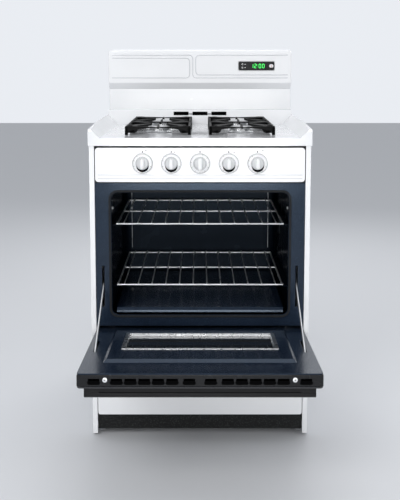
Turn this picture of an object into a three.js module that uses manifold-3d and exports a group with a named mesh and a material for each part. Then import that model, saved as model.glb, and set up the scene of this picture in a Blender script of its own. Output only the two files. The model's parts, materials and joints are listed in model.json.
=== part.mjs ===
// A freestanding gas range, 24 inches wide, with its oven door open.
// Millimetres. +Z up, +X to the right of a person facing the range, front towards -Y.
// While it is being built, y = 0 is the front plane of the cabinet and z = 0 is the floor.
import * as THREE from "three";
import { ConvexGeometry } from "three/addons/geometries/ConvexGeometry.js";
import { mergeVertices } from "three/addons/utils/BufferGeometryUtils.js";
import Module from "manifold-3d";

const wasm = await Module();
wasm.setup();

// ---------- driving dimensions ----------
const GAP = 0.4; // between pieces that touch
const SHEET = 1.6; // pressed steel panels
const BODY_WIDTH = 606; // over the side panels
const BODY_DEPTH = 606; // front plane to the back of the side panels
const BODY_TOP = 824; // top of the side panels
const PANEL_FOOT = 6; // side panels stop this far above the floor
const FLANGE = 14; // width of the side panels' front edge

const TOP_OVERHANG = 2; // the cooktop is this much wider than the cabinet, each side
const TOP_FRONT = -7; // its front edge, ahead of the front plane
const GUARD_DEPTH = 59; // the backguard stands this far ahead of the cabinet's back
const TOP_FLOOR = 846; // height of its basin floor
const TOP_SKIN = 4;
const RIM_FRONT = 869; // height of its side rims, front and back
const RIM_BACK = 892;
const RIM_WIDTH = 31;
const RIM_CREST = 8; // flat top of a side rim
const RISER_DEPTH = 26; // slope from the basin up to the back ledge
const LEDGE_DEPTH = 14; // flat back ledge in front of the backguard
const VENT_WIDTH = 50;
const VENT_PITCH = 63;
const VENT_HEIGHT = 12;
const VENT_DROP = 12; // from the top of the back ledge to the middle of a vent
const BURNER_X = 119; // burner centres
const GRATE_APART = 3; // between front and rear grates
const GRATE_INSET = 5; // from the slope at the back of the basin to the rear grates
const THROAT_RADIUS = 25; // hole in the cooktop for a burner

const GRATE_WIDTH = 186;
const GRATE_DEPTH = 206;
const GRATE_HEIGHT = 26;
const GRATE_BAR = 10;
const GRATE_TOP_BAR = 7; // height of a bar over the arches
const GRATE_FOOT = 24; // length of a corner foot
const FINGER_CLEAR = 3; // between a side finger's tip and the burner cap, seen from above

const HEAD_RADIUS = 38;
const HEAD_HEIGHT = 11;
const CAP_RADIUS = 28;
const CAP_HEIGHT = 5;

const GUARD_SHELF = 978; // bottom of the backguard's upper fascia
const GUARD_TOP = 1090;
const FASCIA_OUT = 22; // how far the fascia stands ahead of the lower panel
const CLOCK_X = 187; // clock window centre
const CLOCK_Z = 1037;
const CLOCK_WIDTH = 118;
const CLOCK_HEIGHT = 28;
const BUTTON_X = 236;

const PANEL_BOTTOM = 725; // control panel
const PANEL_TOP = 819;
const PANEL_FACE = -5; // its front face
const PANEL_THICK = 4;
const KNOB_PITCH = 78.2;
const KNOB_Z = 777;
const SKIRT_RADIUS = 28;
const KNOB_RADIUS = 17;
const KNOB_STAND = 5; // air between a knob and the panel
const KNOB_DEPTH = 24;
const STEM_RADIUS = 4;
const STEM_GRIP = 8; // length of stem inside a knob

const FACE_CLEAR = 1; // beside the oven face, door and drawer front
const FACE_BOTTOM = 319;
const FACE_TOP = 722;
const OPENING_WIDTH = 488;
const OPENING_BOTTOM = 351;
const OPENING_TOP = 695;
const OPENING_RADIUS = 18;
const OVEN_REAR_ROOM = 148; // from the oven's back wall to the cabinet's back
const OVEN_BELLY = 6; // the cavity is this much wider than the opening, each side
const OVEN_FLOOR_Z = 366;
const FLOOR_MARGIN = 16; // side gaps beside the oven floor panel

const RACK_CLEAR = 10; // between a rack and the oven's mouth, each side
const RACK_HOLD = 4; // how far a rack reaches over its ledges
const RACK_BACK_ROOM = 18;
const RACK_FRONT = 36;
const RACK_WIRE = 3; // radius
const RACK_BAR = 3.6;
const LOWER_RACK_Z = 428;
const UPPER_RACK_Z = 602;
const RACK_WIRES = 12;

const HINGE_Y = 4; // door hinge axis
const HINGE_Z = 318;
const DOOR_OPEN = 87; // degrees from closed
const DOOR_BOTTOM = 289; // closed
const DOOR_TOP = 716;
const DOOR_INNER = -4; // closed: inner face
const DOOR_THICK = 36;
const HANDLE_INSET = 15; // of the handle's ends from the door's edges
const HANDLE_OUT = 27; // from the door's face to the front of the handle
const WINDOW_WIDTH = 400;
const WINDOW_LOW = 392; // closed: the inner window's lower and upper edge
const WINDOW_HIGH = 545;

const DOOR_VENTS = [25, 65, 97.5, 130, 162.5, 195, 248]; // along the door's top edge, from its middle
const DOOR_VENT_WIDTH = 26;

const STAY_INSET = 20; // of the stay arms from the door's edges
const STAY_Z = 436; // height of an open stay's inner end
const STAY_TIP_Y = 12;
const STAY_THICK = 3;
const STAY_WIDTH = 9;
const STAY_END = 214; // from the hinge to a stay's pin, along the door
const STAY_PIN_DEPTH = 10; // of the pin below the door's inner face
const STAY_SLOT = [374, 490]; // heights of the slots in the oven face
const STAY_CLEAR = 1.7; // beside a stay, in its slots

const DRAWER_BOTTOM = 68;
const DRAWER_TOP = 261;
const DRAWER_FACE = -17;
const DRAWER_THICK = 15;
const BIN_REAR_ROOM = 120; // behind the drawer's bin
const BIN_INSET = 28; // of the bin from the drawer front's ends
const BIN_HEIGHT = 130;
const KICK_BOTTOM = 17;
const KICK_SET_BACK = 6;
const FOOT_RADIUS = 15;
const FOOT_STEM = 5; // radius of a foot's stem
const FOOT_HEIGHT = 30;

const BACK_VENTS = 9; // slots across the back panel
const BACK_VENT_PITCH = 46;
const BACK_VENT_WIDTH = 32;
const BACK_VENT_Z = 700;
const BACK_VENT_HEIGHT = 8;

const RAIL_FRONT = 24; // drawer rails
const RAIL_TOP = 215;
const RAIL_THICK = 2;
const RAIL_FOOT_WIDTH = 34;
const RAIL_TRACK_WIDTH = 16;
const RAIL_TRACK_Z = 150;

// ---------- sizes that follow ----------
const TOP_WIDTH = BODY_WIDTH + 2 * TOP_OVERHANG;
const TOP_BACK = BODY_DEPTH - GUARD_DEPTH;
const FACE_WIDTH = BODY_WIDTH - 2 * (FLANGE + FACE_CLEAR);
const OVEN_DEPTH = BODY_DEPTH - OVEN_REAR_ROOM;
const RACK_WIDTH = OPENING_WIDTH - 2 * RACK_CLEAR;
const RACK_DEPTH = OVEN_DEPTH - RACK_BACK_ROOM - RACK_FRONT;
const HANDLE_WIDTH = FACE_WIDTH - 2 * HANDLE_INSET;
const STAY_X = FACE_WIDTH / 2 - STAY_INSET;
const BIN_WIDTH = FACE_WIDTH - 2 * BIN_INSET;
const BIN_DEPTH = BODY_DEPTH - BIN_REAR_ROOM - 6;
const BURNER_BACK = TOP_BACK - LEDGE_DEPTH - RISER_DEPTH - GRATE_INSET - GRATE_DEPTH / 2;
const BURNER_FRONT = BURNER_BACK - GRATE_DEPTH - GRATE_APART;

// ---------- finishes ----------
const FINISH = {
  white: [0xf3f4f5, 0.22, 0],
  galvanised: [0xb9bdc0, 0.45, 0.8],
  charcoal: [0x3a3d42, 0.6, 0],
  enamel: [0x1b2230, 0.25, 0],
  black: [0x0b0c0f, 0.3, 0],
  iron: [0x141414, 0.65, 0.2],
  aluminium: [0xc4c7ca, 0.35, 0.9],
  steel: [0xd0d3d6, 0.25, 1],
  brass: [0xb89b55, 0.35, 0.9],
  glass: [0x0e1216, 0.05, 0],
  rubber: [0x222222, 0.9, 0],
};

const range = new THREE.Group();

function part(name, geometry, finish) {
  const [color, roughness, metalness] = FINISH[finish];
  const mesh = new THREE.Mesh(
    geometry,
    new THREE.MeshStandardMaterial({ color, roughness, metalness }),
  );
  mesh.name = name;
  range.add(mesh);
  return mesh;
}

// ---------- solids ----------
function block(x0, x1, y0, y1, z0, z1) {
  return new THREE.BoxGeometry(x1 - x0, y1 - y0, z1 - z0).translate(
    (x0 + x1) / 2,
    (y0 + y1) / 2,
    (z0 + z1) / 2,
  );
}

function hull(points) {
  return new ConvexGeometry(points.map((p) => new THREE.Vector3(...p)));
}

// a slab whose outline lies in XZ, from y0 back to y1
function slab(shape, y0, y1, curveSegments = 4) {
  return new THREE.ExtrudeGeometry(shape, { depth: y1 - y0, bevelEnabled: false, curveSegments })
    .rotateX(Math.PI / 2)
    .translate(0, y1, 0);
}

function roundedOutline(x0, x1, z0, z1, r) {
  const s = new THREE.Shape();
  s.moveTo(x0 + r, z0);
  s.lineTo(x1 - r, z0);
  s.absarc(x1 - r, z0 + r, r, -Math.PI / 2, 0);
  s.lineTo(x1, z1 - r);
  s.absarc(x1 - r, z1 - r, r, 0, Math.PI / 2);
  s.lineTo(x0 + r, z1);
  s.absarc(x0 + r, z1 - r, r, Math.PI / 2, Math.PI);
  s.lineTo(x0, z0 + r);
  s.absarc(x0 + r, z0 + r, r, Math.PI, 1.5 * Math.PI);
  return s;
}

function roundedSlab(x0, x1, z0, z1, r, y0, y1) {
  return slab(roundedOutline(x0, x1, z0, z1, r), y0, y1);
}

// a prism whose outline lies in YZ, from x0 to x1
function sideways(points, x0, x1) {
  const s = new THREE.Shape(points.map(([y, z]) => new THREE.Vector2(y, z)));
  return new THREE.ExtrudeGeometry(s, { depth: x1 - x0, bevelEnabled: false })
    .rotateX(Math.PI / 2)
    .rotateZ(Math.PI / 2)
    .translate(x0, 0, 0);
}

// a turned solid about a vertical axis; profile is [radius, z] from the axis to the axis
function turned(profile, segments) {
  return new THREE.LatheGeometry(
    profile.map(([r, z]) => new THREE.Vector2(r, z)),
    segments,
  ).rotateX(Math.PI / 2);
}

// a straight round bar from a to b
function bar(a, b, radius, sides = 6) {
  const from = new THREE.Vector3(...a);
  const along = new THREE.Vector3(...b).sub(from);
  const turn = new THREE.Quaternion().setFromUnitVectors(
    new THREE.Vector3(0, 1, 0),
    along.clone().normalize(),
  );
  return new THREE.CylinderGeometry(radius, radius, along.length(), sides)
    .applyQuaternion(turn)
    .translate(from.x + along.x / 2, from.y + along.y / 2, from.z + along.z / 2);
}

function solid(geometry) {
  const bare = geometry.index ? geometry.toNonIndexed() : geometry.clone();
  bare.deleteAttribute("normal");
  bare.deleteAttribute("uv");
  const merged = mergeVertices(bare, 1e-3);
  return new wasm.Manifold(
    new wasm.Mesh({
      numProp: 3,
      vertProperties: new Float32Array(merged.attributes.position.array),
      triVerts: new Uint32Array(merged.index.array),
    }),
  );
}

function surface(made) {
  const mesh = made.getMesh();
  return new THREE.BufferGeometry()
    .setAttribute("position", new THREE.BufferAttribute(mesh.vertProperties, 3))
    .setIndex(new THREE.BufferAttribute(mesh.triVerts, 1));
}

function joined(...pieces) {
  return surface(pieces.map(solid).reduce((a, b) => a.add(b)));
}

function carved(piece, ...cuts) {
  return surface(cuts.map(solid).reduce((a, b) => a.subtract(b), solid(piece)));
}

const BOTH_SIDES = [
  ["left", -1],
  ["right", 1],
];
const CORNERS = [
  ["front_left", -1, BURNER_FRONT],
  ["front_right", 1, BURNER_FRONT],
  ["rear_left", -1, BURNER_BACK],
  ["rear_right", 1, BURNER_BACK],
];
const across = (side, a, b) => (side < 0 ? [-b, -a] : [a, b]);

// ---------- cabinet ----------
const halfBody = BODY_WIDTH / 2;
const backInside = BODY_DEPTH - 8;

function sidePanel(side) {
  const wall = block(...across(side, halfBody - SHEET, halfBody), 0, BODY_DEPTH, PANEL_FOOT, BODY_TOP);
  const lip = block(...across(side, halfBody - FLANGE, halfBody), 0, SHEET, PANEL_FOOT, BODY_TOP);
  return joined(wall, lip);
}

function backPanel() {
  const half = halfBody - SHEET - GAP;
  const sheet = block(-half, half, backInside, backInside + SHEET, KICK_BOTTOM + 40, BODY_TOP - 6);
  const vents = [];
  for (let i = 0; i < BACK_VENTS; i++) {
    const x = (i - (BACK_VENTS - 1) / 2) * BACK_VENT_PITCH;
    vents.push(block(x - BACK_VENT_WIDTH / 2, x + BACK_VENT_WIDTH / 2, backInside - 1, backInside + SHEET + 1,
      BACK_VENT_Z, BACK_VENT_Z + BACK_VENT_HEIGHT));
  }
  return carved(sheet, ...vents);
}

function drawerRail(side) {
  const outer = halfBody - SHEET - GAP;
  const shelf = (width, z) => block(...across(side, outer - width, outer), RAIL_FRONT, backInside - GAP,
    z, z + RAIL_THICK);
  const web = block(...across(side, outer - RAIL_THICK, outer), RAIL_FRONT, backInside - GAP, FOOT_HEIGHT, RAIL_TOP);
  const foot = shelf(RAIL_FOOT_WIDTH, FOOT_HEIGHT);
  const track = shelf(RAIL_TRACK_WIDTH, RAIL_TRACK_Z);
  return joined(web, foot, track);
}

function kickPlate() {
  const half = FACE_WIDTH / 2;
  const top = DRAWER_BOTTOM - 2;
  const face = block(-half, half, KICK_SET_BACK, KICK_SET_BACK + SHEET, KICK_BOTTOM, top);
  const shelf = block(-half + 2, half - 2, KICK_SET_BACK, 22, KICK_BOTTOM, KICK_BOTTOM + SHEET);
  return joined(face, shelf);
}

function levellingFoot() {
  const top = FOOT_HEIGHT - GAP;
  return turned(
    [[0, 0], [FOOT_RADIUS, 0], [FOOT_RADIUS, 5], [8, 9], [FOOT_STEM, 9], [FOOT_STEM, top], [0, top]],
    10,
  );
}

for (const [name, side] of BOTH_SIDES) {
  part(`side_panel_${name}`, sidePanel(side), "white");
  part(`drawer_rail_${name}`, drawerRail(side), "galvanised");
  for (const [end, y] of [["front", 44], ["rear", backInside - 40]]) {
    const foot = part(`levelling_foot_${end}_${name}`, levellingFoot(), "galvanised");
    foot.position.set(side * (halfBody - 20), y, 0);
  }
}
part("back_panel", backPanel(), "galvanised");
part("kick_plate", kickPlate(), "charcoal");

// ---------- oven ----------
const halfFace = FACE_WIDTH / 2;
const halfOpening = OPENING_WIDTH / 2;
const halfOven = halfOpening + OVEN_BELLY;
const ovenBottom = OPENING_BOTTOM - 12;
const ovenTop = OPENING_TOP + 14;
const faceBack = 18; // the oven face is a shallow pan this deep
const RACK_LEDGES = [LOWER_RACK_Z, UPPER_RACK_Z];
const staySlot = STAY_THICK / 2 + STAY_CLEAR; // half the width of a stay's slot

function ovenFace() {
  const pan = block(-halfFace, halfFace, 0, faceBack, FACE_BOTTOM, FACE_TOP);
  const hollow = block(-halfFace + 2, halfFace - 2, 2, faceBack + 1, FACE_BOTTOM + 2, FACE_TOP - 2);
  const mouth = roundedSlab(-halfOpening, halfOpening, OPENING_BOTTOM, OPENING_TOP, OPENING_RADIUS, -1, 3);
  const slots = BOTH_SIDES.map(([, side]) =>
    block(...across(side, STAY_X - staySlot, STAY_X + staySlot), -1, 3, ...STAY_SLOT),
  );
  return carved(pan, hollow, mouth, ...slots);
}

function ovenLiner() {
  const front = 2 + GAP;
  const shell = block(-halfOven - 2, halfOven + 2, front, OVEN_DEPTH + 2, ovenBottom - 2, ovenTop + 2);
  const cavity = block(-halfOven, halfOven, front - 1, OVEN_DEPTH, ovenBottom, ovenTop);
  let liner = solid(shell).subtract(solid(cavity));
  for (const [, side] of BOTH_SIDES) {
    for (const z of RACK_LEDGES) {
      const low = z - RACK_BAR - GAP;
      const ledge = block(...across(side, RACK_WIDTH / 2 - RACK_HOLD, halfOven + 1), 24, OVEN_DEPTH - 16, low - 4, low);
      liner = liner.add(solid(ledge));
    }
  }
  const lampHole = block(176, 200, OVEN_DEPTH - 1, OVEN_DEPTH + 3, 668, 692);
  const bulbHole = block(-196, -184, OVEN_DEPTH - 1, OVEN_DEPTH + 3, 676, 688);
  return surface(liner.subtract(solid(lampHole)).subtract(solid(bulbHole)));
}

function ovenFloor() {
  const half = halfOven - FLOOR_MARGIN;
  const plate = block(-half, half, 26, OVEN_DEPTH - 22, OVEN_FLOOR_Z - 3, OVEN_FLOOR_Z);
  const legs = [];
  for (const x of [-half + 20, half - 20]) {
    for (const y of [60, OVEN_DEPTH - 60]) {
      legs.push(block(x - 8, x + 8, y - 8, y + 8, ovenBottom + GAP, OVEN_FLOOR_Z - 2));
    }
  }
  return joined(plate, ...legs);
}

function ovenBurner() {
  const z = ovenBottom - 26;
  const tube = bar([0, 120, z], [0, OVEN_DEPTH + 60, z], 16, 10);
  const wings = block(-120, 120, 150, 170, z - 6, z + 6);
  return joined(tube, wings);
}

function ovenGasket() {
  const low = OPENING_BOTTOM - 7;
  const high = OPENING_TOP + 7;
  const half = halfOpening + 7;
  const ring = roundedSlab(-half, half, low, high, OPENING_RADIUS + 7, -3, -GAP);
  const hole = roundedSlab(
    -halfOpening - 1, halfOpening + 1, OPENING_BOTTOM - 1, OPENING_TOP + 1, OPENING_RADIUS, -4, 0);
  return carved(ring, hole);
}

// wires run front to back over the cross bars, and turn down over the front bar
function rack(height) {
  const half = RACK_WIDTH / 2;
  const back = RACK_FRONT + RACK_DEPTH;
  const pieces = [];
  for (const y of [RACK_FRONT, RACK_FRONT + RACK_DEPTH / 2, back]) {
    pieces.push(bar([-half, y, 0], [half, y, 0], RACK_BAR));
  }
  for (const x of [-half + RACK_BAR, half - RACK_BAR]) {
    pieces.push(bar([x, RACK_FRONT - 1, 0], [x, back + 1, 0], RACK_BAR));
  }
  const pitch = (RACK_WIDTH - 44) / (RACK_WIRES - 1);
  const lift = RACK_WIRE + RACK_BAR - 1.5;
  for (let i = 0; i < RACK_WIRES; i++) {
    const x = -half + 22 + i * pitch;
    pieces.push(bar([x, RACK_FRONT - 4, lift], [x, back + 2, lift], RACK_WIRE, 5));
  }
  return joined(...pieces).translate(0, 0, height);
}

function ovenLamp() {
  return turned([[0, 0], [11, 0], [11, 8], [14, 10], [14, 24], [7, 34], [0, 36]], 10)
    .rotateX(Math.PI / 2)
    .translate(188, OVEN_DEPTH + 6, 680);
}

function thermostatBulb() {
  const holder = bar([-190, OVEN_DEPTH + 10, 682], [-190, OVEN_DEPTH - 14, 682], 4, 8);
  const stick = bar([-190, OVEN_DEPTH - 12, 682], [-70, OVEN_DEPTH - 12, 682], 3, 8);
  return joined(holder, stick);
}

part("oven_front_frame", ovenFace(), "enamel");
part("oven_liner", ovenLiner(), "enamel");
part("oven_floor", ovenFloor(), "enamel");
part("oven_burner", ovenBurner(), "steel");
part("oven_gasket", ovenGasket(), "rubber");
part("lower_rack", rack(LOWER_RACK_Z), "steel");
part("upper_rack", rack(UPPER_RACK_Z), "steel");
part("oven_lamp", ovenLamp(), "glass");
part("thermostat_bulb", thermostatBulb(), "steel");

// ---------- cooktop ----------
const halfTop = TOP_WIDTH / 2;
const ledgeFront = TOP_BACK - LEDGE_DEPTH;
const riserFoot = ledgeFront - RISER_DEPTH;
const basinHalf = halfTop - RIM_WIDTH;
const rimHeight = (y) => RIM_FRONT + ((RIM_BACK - RIM_FRONT) * (y - TOP_FRONT)) / (TOP_BACK - TOP_FRONT);

function cooktop() {
  const front = TOP_FRONT;
  const outline = [
    [front, BODY_TOP + GAP],
    [TOP_BACK, BODY_TOP + GAP],
    [TOP_BACK, RIM_BACK],
    [front + 6, RIM_FRONT],
    [front, RIM_FRONT - 6],
  ];
  const wide = halfTop - RIM_CREST;
  const ahead = front - 10;
  const over = RIM_BACK + 5;
  const spread = ((wide - basinHalf) * (over - TOP_FLOOR)) / (RIM_FRONT - TOP_FLOOR);
  const basin = hull([
    [-basinHalf, ahead, TOP_FLOOR], [basinHalf, ahead, TOP_FLOOR],
    [-basinHalf, riserFoot, TOP_FLOOR], [basinHalf, riserFoot, TOP_FLOOR],
    [-basinHalf - spread, ahead, over], [basinHalf + spread, ahead, over],
    [-basinHalf - spread, ledgeFront + 4, over], [basinHalf + spread, ledgeFront + 4, over],
  ]);
  const under = TOP_FLOOR - TOP_SKIN;
  const below = block(-halfTop + 4, halfTop - 4, front + 4, riserFoot + 2, BODY_TOP - 9, under);
  const behind = block(-halfTop + 30, halfTop - 30, riserFoot, TOP_BACK - 5, BODY_TOP - 9, under + 1);
  const cuts = [below, behind, basin];
  for (const [, side, y] of CORNERS) {
    cuts.push(bar([side * BURNER_X, y, BODY_TOP], [side * BURNER_X, y, TOP_FLOOR + 9], THROAT_RADIUS, 16));
  }
  const ventZ = rimHeight(ledgeFront) - VENT_DROP;
  for (const i of [-1, 0, 1]) {
    const x = i * VENT_PITCH;
    cuts.push(block(x - VENT_WIDTH / 2, x + VENT_WIDTH / 2, riserFoot - 2, TOP_BACK - 6,
      ventZ - VENT_HEIGHT / 2, ventZ + VENT_HEIGHT / 2));
  }
  const flue = block(-VENT_PITCH - 22, VENT_PITCH + 22, ledgeFront - 8, TOP_BACK - 6, under, ventZ);
  cuts.push(flue);
  return carved(sideways(outline, -halfTop, halfTop), ...cuts);
}

function grate() {
  const w = GRATE_WIDTH / 2;
  const d = GRATE_DEPTH / 2;
  const top = GRATE_HEIGHT;
  const b = GRATE_BAR;
  const f = GRATE_FOOT;
  const arch = (half) => [[-half, -1], [half, -1], [half - f, top - GRATE_TOP_BAR - 2],
    [half - f - 20, top - GRATE_TOP_BAR], [-half + f + 20, top - GRATE_TOP_BAR], [-half + f, top - GRATE_TOP_BAR - 2]];
  let made = solid(block(-w, w, -d, d, 0, top)).subtract(solid(block(-w + b, w - b, -d + b, d - b, -1, top + 1)));
  const frontArch = new THREE.Shape(arch(w - 14).map(([x, z]) => new THREE.Vector2(x, z)));
  made = made.subtract(solid(slab(frontArch, -d - 1, d + 1)));
  made = made.subtract(solid(sideways(arch(d - 14), -w - 1, w + 1)));
  const low = top - 8;
  for (const s of [-1, 1]) {
    const root = s * (w - b + 1);
    const tip = s * (CAP_RADIUS + FINGER_CLEAR);
    made = made.add(solid(hull([
      [root, -44, low], [root, 44, low], [tip, -4, low + 2], [tip, 4, low + 2],
      [root, -44, top], [root, 44, top], [tip, -4, top - 1.5], [tip, 4, top - 1.5],
    ])));
    const far = s * (d - b + 1);
    const near = s * (CAP_RADIUS + FINGER_CLEAR + 4);
    made = made.add(solid(hull([
      [-4, far, low], [4, far, low], [-3, near, low + 2], [3, near, low + 2],
      [-4, far, top], [4, far, top], [-3, near, top - 1.5], [3, near, top - 1.5],
    ])));
  }
  return surface(made);
}

function burnerHead() {
  const r = HEAD_RADIUS;
  return turned(
    [[0, -22], [THROAT_RADIUS - 3, -22], [THROAT_RADIUS - 3, GAP], [r, GAP], [r, 3], [r - 9, 5],
      [r - 11, HEAD_HEIGHT], [0, HEAD_HEIGHT]],
    20,
  );
}

function burnerCap() {
  const r = CAP_RADIUS;
  const z = HEAD_HEIGHT + GAP;
  return turned([[0, z], [r - 2, z], [r, z + 1.5], [r - 1, z + CAP_HEIGHT - 1.5], [r - 5, z + CAP_HEIGHT],
    [0, z + CAP_HEIGHT]], 20);
}

part("cooktop", cooktop(), "white");
for (const [name, side, y] of CORNERS) {
  part(`grate_${name}`, grate(), "iron").position.set(side * BURNER_X, y, TOP_FLOOR + GAP);
  part(`burner_head_${name}`, burnerHead(), "aluminium").position.set(side * BURNER_X, y, TOP_FLOOR);
  part(`burner_cap_${name}`, burnerCap(), "aluminium").position.set(side * BURNER_X, y, TOP_FLOOR);
}

// ---------- backguard ----------
const guardFront = TOP_BACK + GAP;
const guardBack = backInside + SHEET + 6;
const halfGuard = halfBody;
const fasciaFront = guardFront - FASCIA_OUT;
const FASCIA_LEAN = 4; // the foot of the fascia stands this much ahead of its top
const CORNER_CUT = 9; // its upper corners are cut off at a slant

function backguardBody() {
  const foot = BODY_TOP + GAP;
  const outline = [[guardFront, foot], [guardBack, foot], [guardBack, GUARD_TOP - 9],
    [guardFront, GUARD_TOP - 9]];
  const box = sideways(outline, -halfGuard, halfGuard);
  const hollow = block(-halfGuard + 3, halfGuard - 3, guardFront + 3, guardBack - 2, foot - 1, GUARD_TOP - 12);
  return carved(box, hollow);
}

function backguardFascia() {
  const y = fasciaFront;
  const outline = [[y, GUARD_SHELF + 3], [y + 3, GUARD_SHELF], [guardFront - GAP, GUARD_SHELF - 18],
    [guardFront - GAP, GUARD_TOP - 8], [guardFront + 8, GUARD_TOP - 5], [guardFront + 8, GUARD_TOP],
    [y + FASCIA_LEAN + 4, GUARD_TOP], [y + FASCIA_LEAN, GUARD_TOP - 4]];
  const guardBlock = sideways(outline, -halfGuard, halfGuard);
  const cuts = BOTH_SIDES.map(([, side]) =>
    hull([[side * (halfGuard - CORNER_CUT), y - 5, GUARD_TOP + 1], [side * (halfGuard + 1), y - 5, GUARD_TOP + 1],
      [side * (halfGuard + 1), y - 5, GUARD_TOP - CORNER_CUT], [side * (halfGuard - CORNER_CUT), guardBack, GUARD_TOP + 1],
      [side * (halfGuard + 1), guardBack, GUARD_TOP + 1], [side * (halfGuard + 1), guardBack, GUARD_TOP - CORNER_CUT]]));
  const pocket = block(CLOCK_X - CLOCK_WIDTH / 2, CLOCK_X + CLOCK_WIDTH / 2, y - 3, y + 14,
    CLOCK_Z - CLOCK_HEIGHT / 2, CLOCK_Z + CLOCK_HEIGHT / 2);
  return carved(guardBlock, ...cuts, pocket);
}

function clockModule() {
  const w = CLOCK_WIDTH / 2 - GAP;
  const h = CLOCK_HEIGHT / 2 - GAP;
  const clockCase = roundedSlab(CLOCK_X - w, CLOCK_X + w, CLOCK_Z - h, CLOCK_Z + h, 5, fasciaFront - 1, fasciaFront + 13);
  const hole = roundedSlab(BUTTON_X - 8, BUTTON_X + 8, CLOCK_Z - 6.5, CLOCK_Z + 6.5, 6, fasciaFront - 2, fasciaFront + 9);
  return carved(clockCase, hole);
}

function clockButton() {
  return roundedSlab(BUTTON_X - 7, BUTTON_X + 7, CLOCK_Z - 5.5, CLOCK_Z + 5.5, 5, fasciaFront - 3, fasciaFront + 5);
}

part("backguard_body", backguardBody(), "white");
part("backguard_fascia", backguardFascia(), "white");
part("clock_module", clockModule(), "black");
part("clock_button", clockButton(), "white");

// ---------- control panel ----------
const KNOBS = [
  ["rear_left", -2],
  ["front_left", -1],
  ["oven", 0],
  ["front_right", 1],
  ["rear_right", 2],
];
const panelBack = 24; // depth of the panel's return edges
const valveFront = 30;
const knobBack = PANEL_FACE - KNOB_STAND;

function controlPanel() {
  const outer = roundedSlab(-halfFace, halfFace, PANEL_BOTTOM, PANEL_TOP, 9, PANEL_FACE, panelBack);
  const hollow = block(-halfFace + PANEL_THICK, halfFace - PANEL_THICK, PANEL_FACE + PANEL_THICK, panelBack + 1,
    PANEL_BOTTOM + PANEL_THICK, PANEL_TOP - PANEL_THICK);
  const holes = KNOBS.map(([, i]) =>
    bar([i * KNOB_PITCH, PANEL_FACE - 1, KNOB_Z], [i * KNOB_PITCH, PANEL_FACE + PANEL_THICK + 1, KNOB_Z],
      STEM_RADIUS + 3, 12));
  return carved(outer, hollow, ...holes);
}

// the pipe runs behind the panel and holds a valve for each knob
function gasManifold() {
  const z = KNOB_Z;
  const y = valveFront + 36;
  const pieces = [bar([-250, y, z - 6], [250, y, z - 6], 9, 8)];
  for (const [, i] of KNOBS) {
    const x = i * KNOB_PITCH;
    const body = block(x - 13, x + 13, valveFront, y + 2, z - 13, z + 13);
    const bore = bar([x, valveFront - 1, z], [x, valveFront + 16, z], STEM_RADIUS + 1.5, 10);
    pieces.push(carved(body, bore));
  }
  pieces.push(bar([-246, y, z - 6], [-246, backInside - 90, z - 6], 8, 8));
  return joined(...pieces);
}

function knobStem(i) {
  const x = i * KNOB_PITCH;
  const rod = bar([x, knobBack - STEM_GRIP, KNOB_Z], [x, valveFront + 9, KNOB_Z], STEM_RADIUS, 8);
  const collar = bar([x, 12, KNOB_Z], [x, 15, KNOB_Z], STEM_RADIUS + 4, 8);
  return joined(rod, collar);
}

function knob(i) {
  const r = KNOB_RADIUS;
  const s = SKIRT_RADIUS;
  const body = turned([[0, 0], [s - 1, 0], [s, 1.5], [s, 4], [s - 2, 5.5], [r + 4, 7], [r, 9],
    [r - 1.5, KNOB_DEPTH - 8], [r - 4, KNOB_DEPTH - 6], [0, KNOB_DEPTH - 6]], 24);
  const wide = i === 0 ? 6 : 5;
  const long = i === 0 ? 20 : 15;
  const grip = hull([
    [-wide, -long, 6], [wide, -long, 6], [-wide, long, 6], [wide, long, 6],
    [-wide + 1.5, -long + 2, KNOB_DEPTH], [wide - 1.5, -long + 2, KNOB_DEPTH],
    [-wide + 1.5, long - 2, KNOB_DEPTH], [wide - 1.5, long - 2, KNOB_DEPTH]]);
  const socket = turned([[0, -1], [STEM_RADIUS + 1, -1], [STEM_RADIUS + 1, STEM_GRIP + GAP],
    [0, STEM_GRIP + GAP]], 10);
  const made = solid(body).add(solid(grip)).subtract(solid(socket));
  return surface(made).rotateX(Math.PI / 2).translate(i * KNOB_PITCH, knobBack, KNOB_Z);
}

part("control_panel", controlPanel(), "white");
part("gas_manifold", gasManifold(), "brass");
for (const [name, i] of KNOBS) {
  part(`knob_${name}`, knob(i), "white");
  part(`knob_stem_${name}`, knobStem(i), "steel");
}

// ---------- drawer ----------
function drawerFront() {
  const outer = roundedSlab(-halfFace + 1, halfFace - 1, DRAWER_BOTTOM, DRAWER_TOP, 6, DRAWER_FACE,
    DRAWER_FACE + DRAWER_THICK);
  const hollow = block(-halfFace + 5, halfFace - 5, DRAWER_FACE + 3, DRAWER_FACE + DRAWER_THICK + 1,
    DRAWER_BOTTOM + 4, DRAWER_TOP - 16);
  const inner = block(-halfFace + 16, halfFace - 16, DRAWER_FACE + 2, DRAWER_FACE + DRAWER_THICK,
    DRAWER_BOTTOM + 16, DRAWER_TOP - 30);
  return joined(carved(outer, hollow), inner);
}

function drawerBin() {
  const half = BIN_WIDTH / 2;
  const front = DRAWER_FACE + DRAWER_THICK + GAP;
  const low = 90;
  const outer = block(-half, half, front, front + BIN_DEPTH, low, low + BIN_HEIGHT);
  const inner = block(-half + 2, half - 2, front + 2, front + BIN_DEPTH - 2, low + 2, low + BIN_HEIGHT + 1);
  const runners = BOTH_SIDES.map(([, side]) =>
    block(...across(side, half - 1, half + 16), 40, front + BIN_DEPTH, 152 + 2, 156 + 2));
  return joined(carved(outer, inner), ...runners);
}

part("drawer_front", drawerFront(), "white");
part("drawer_bin", drawerBin(), "galvanised");

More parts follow.
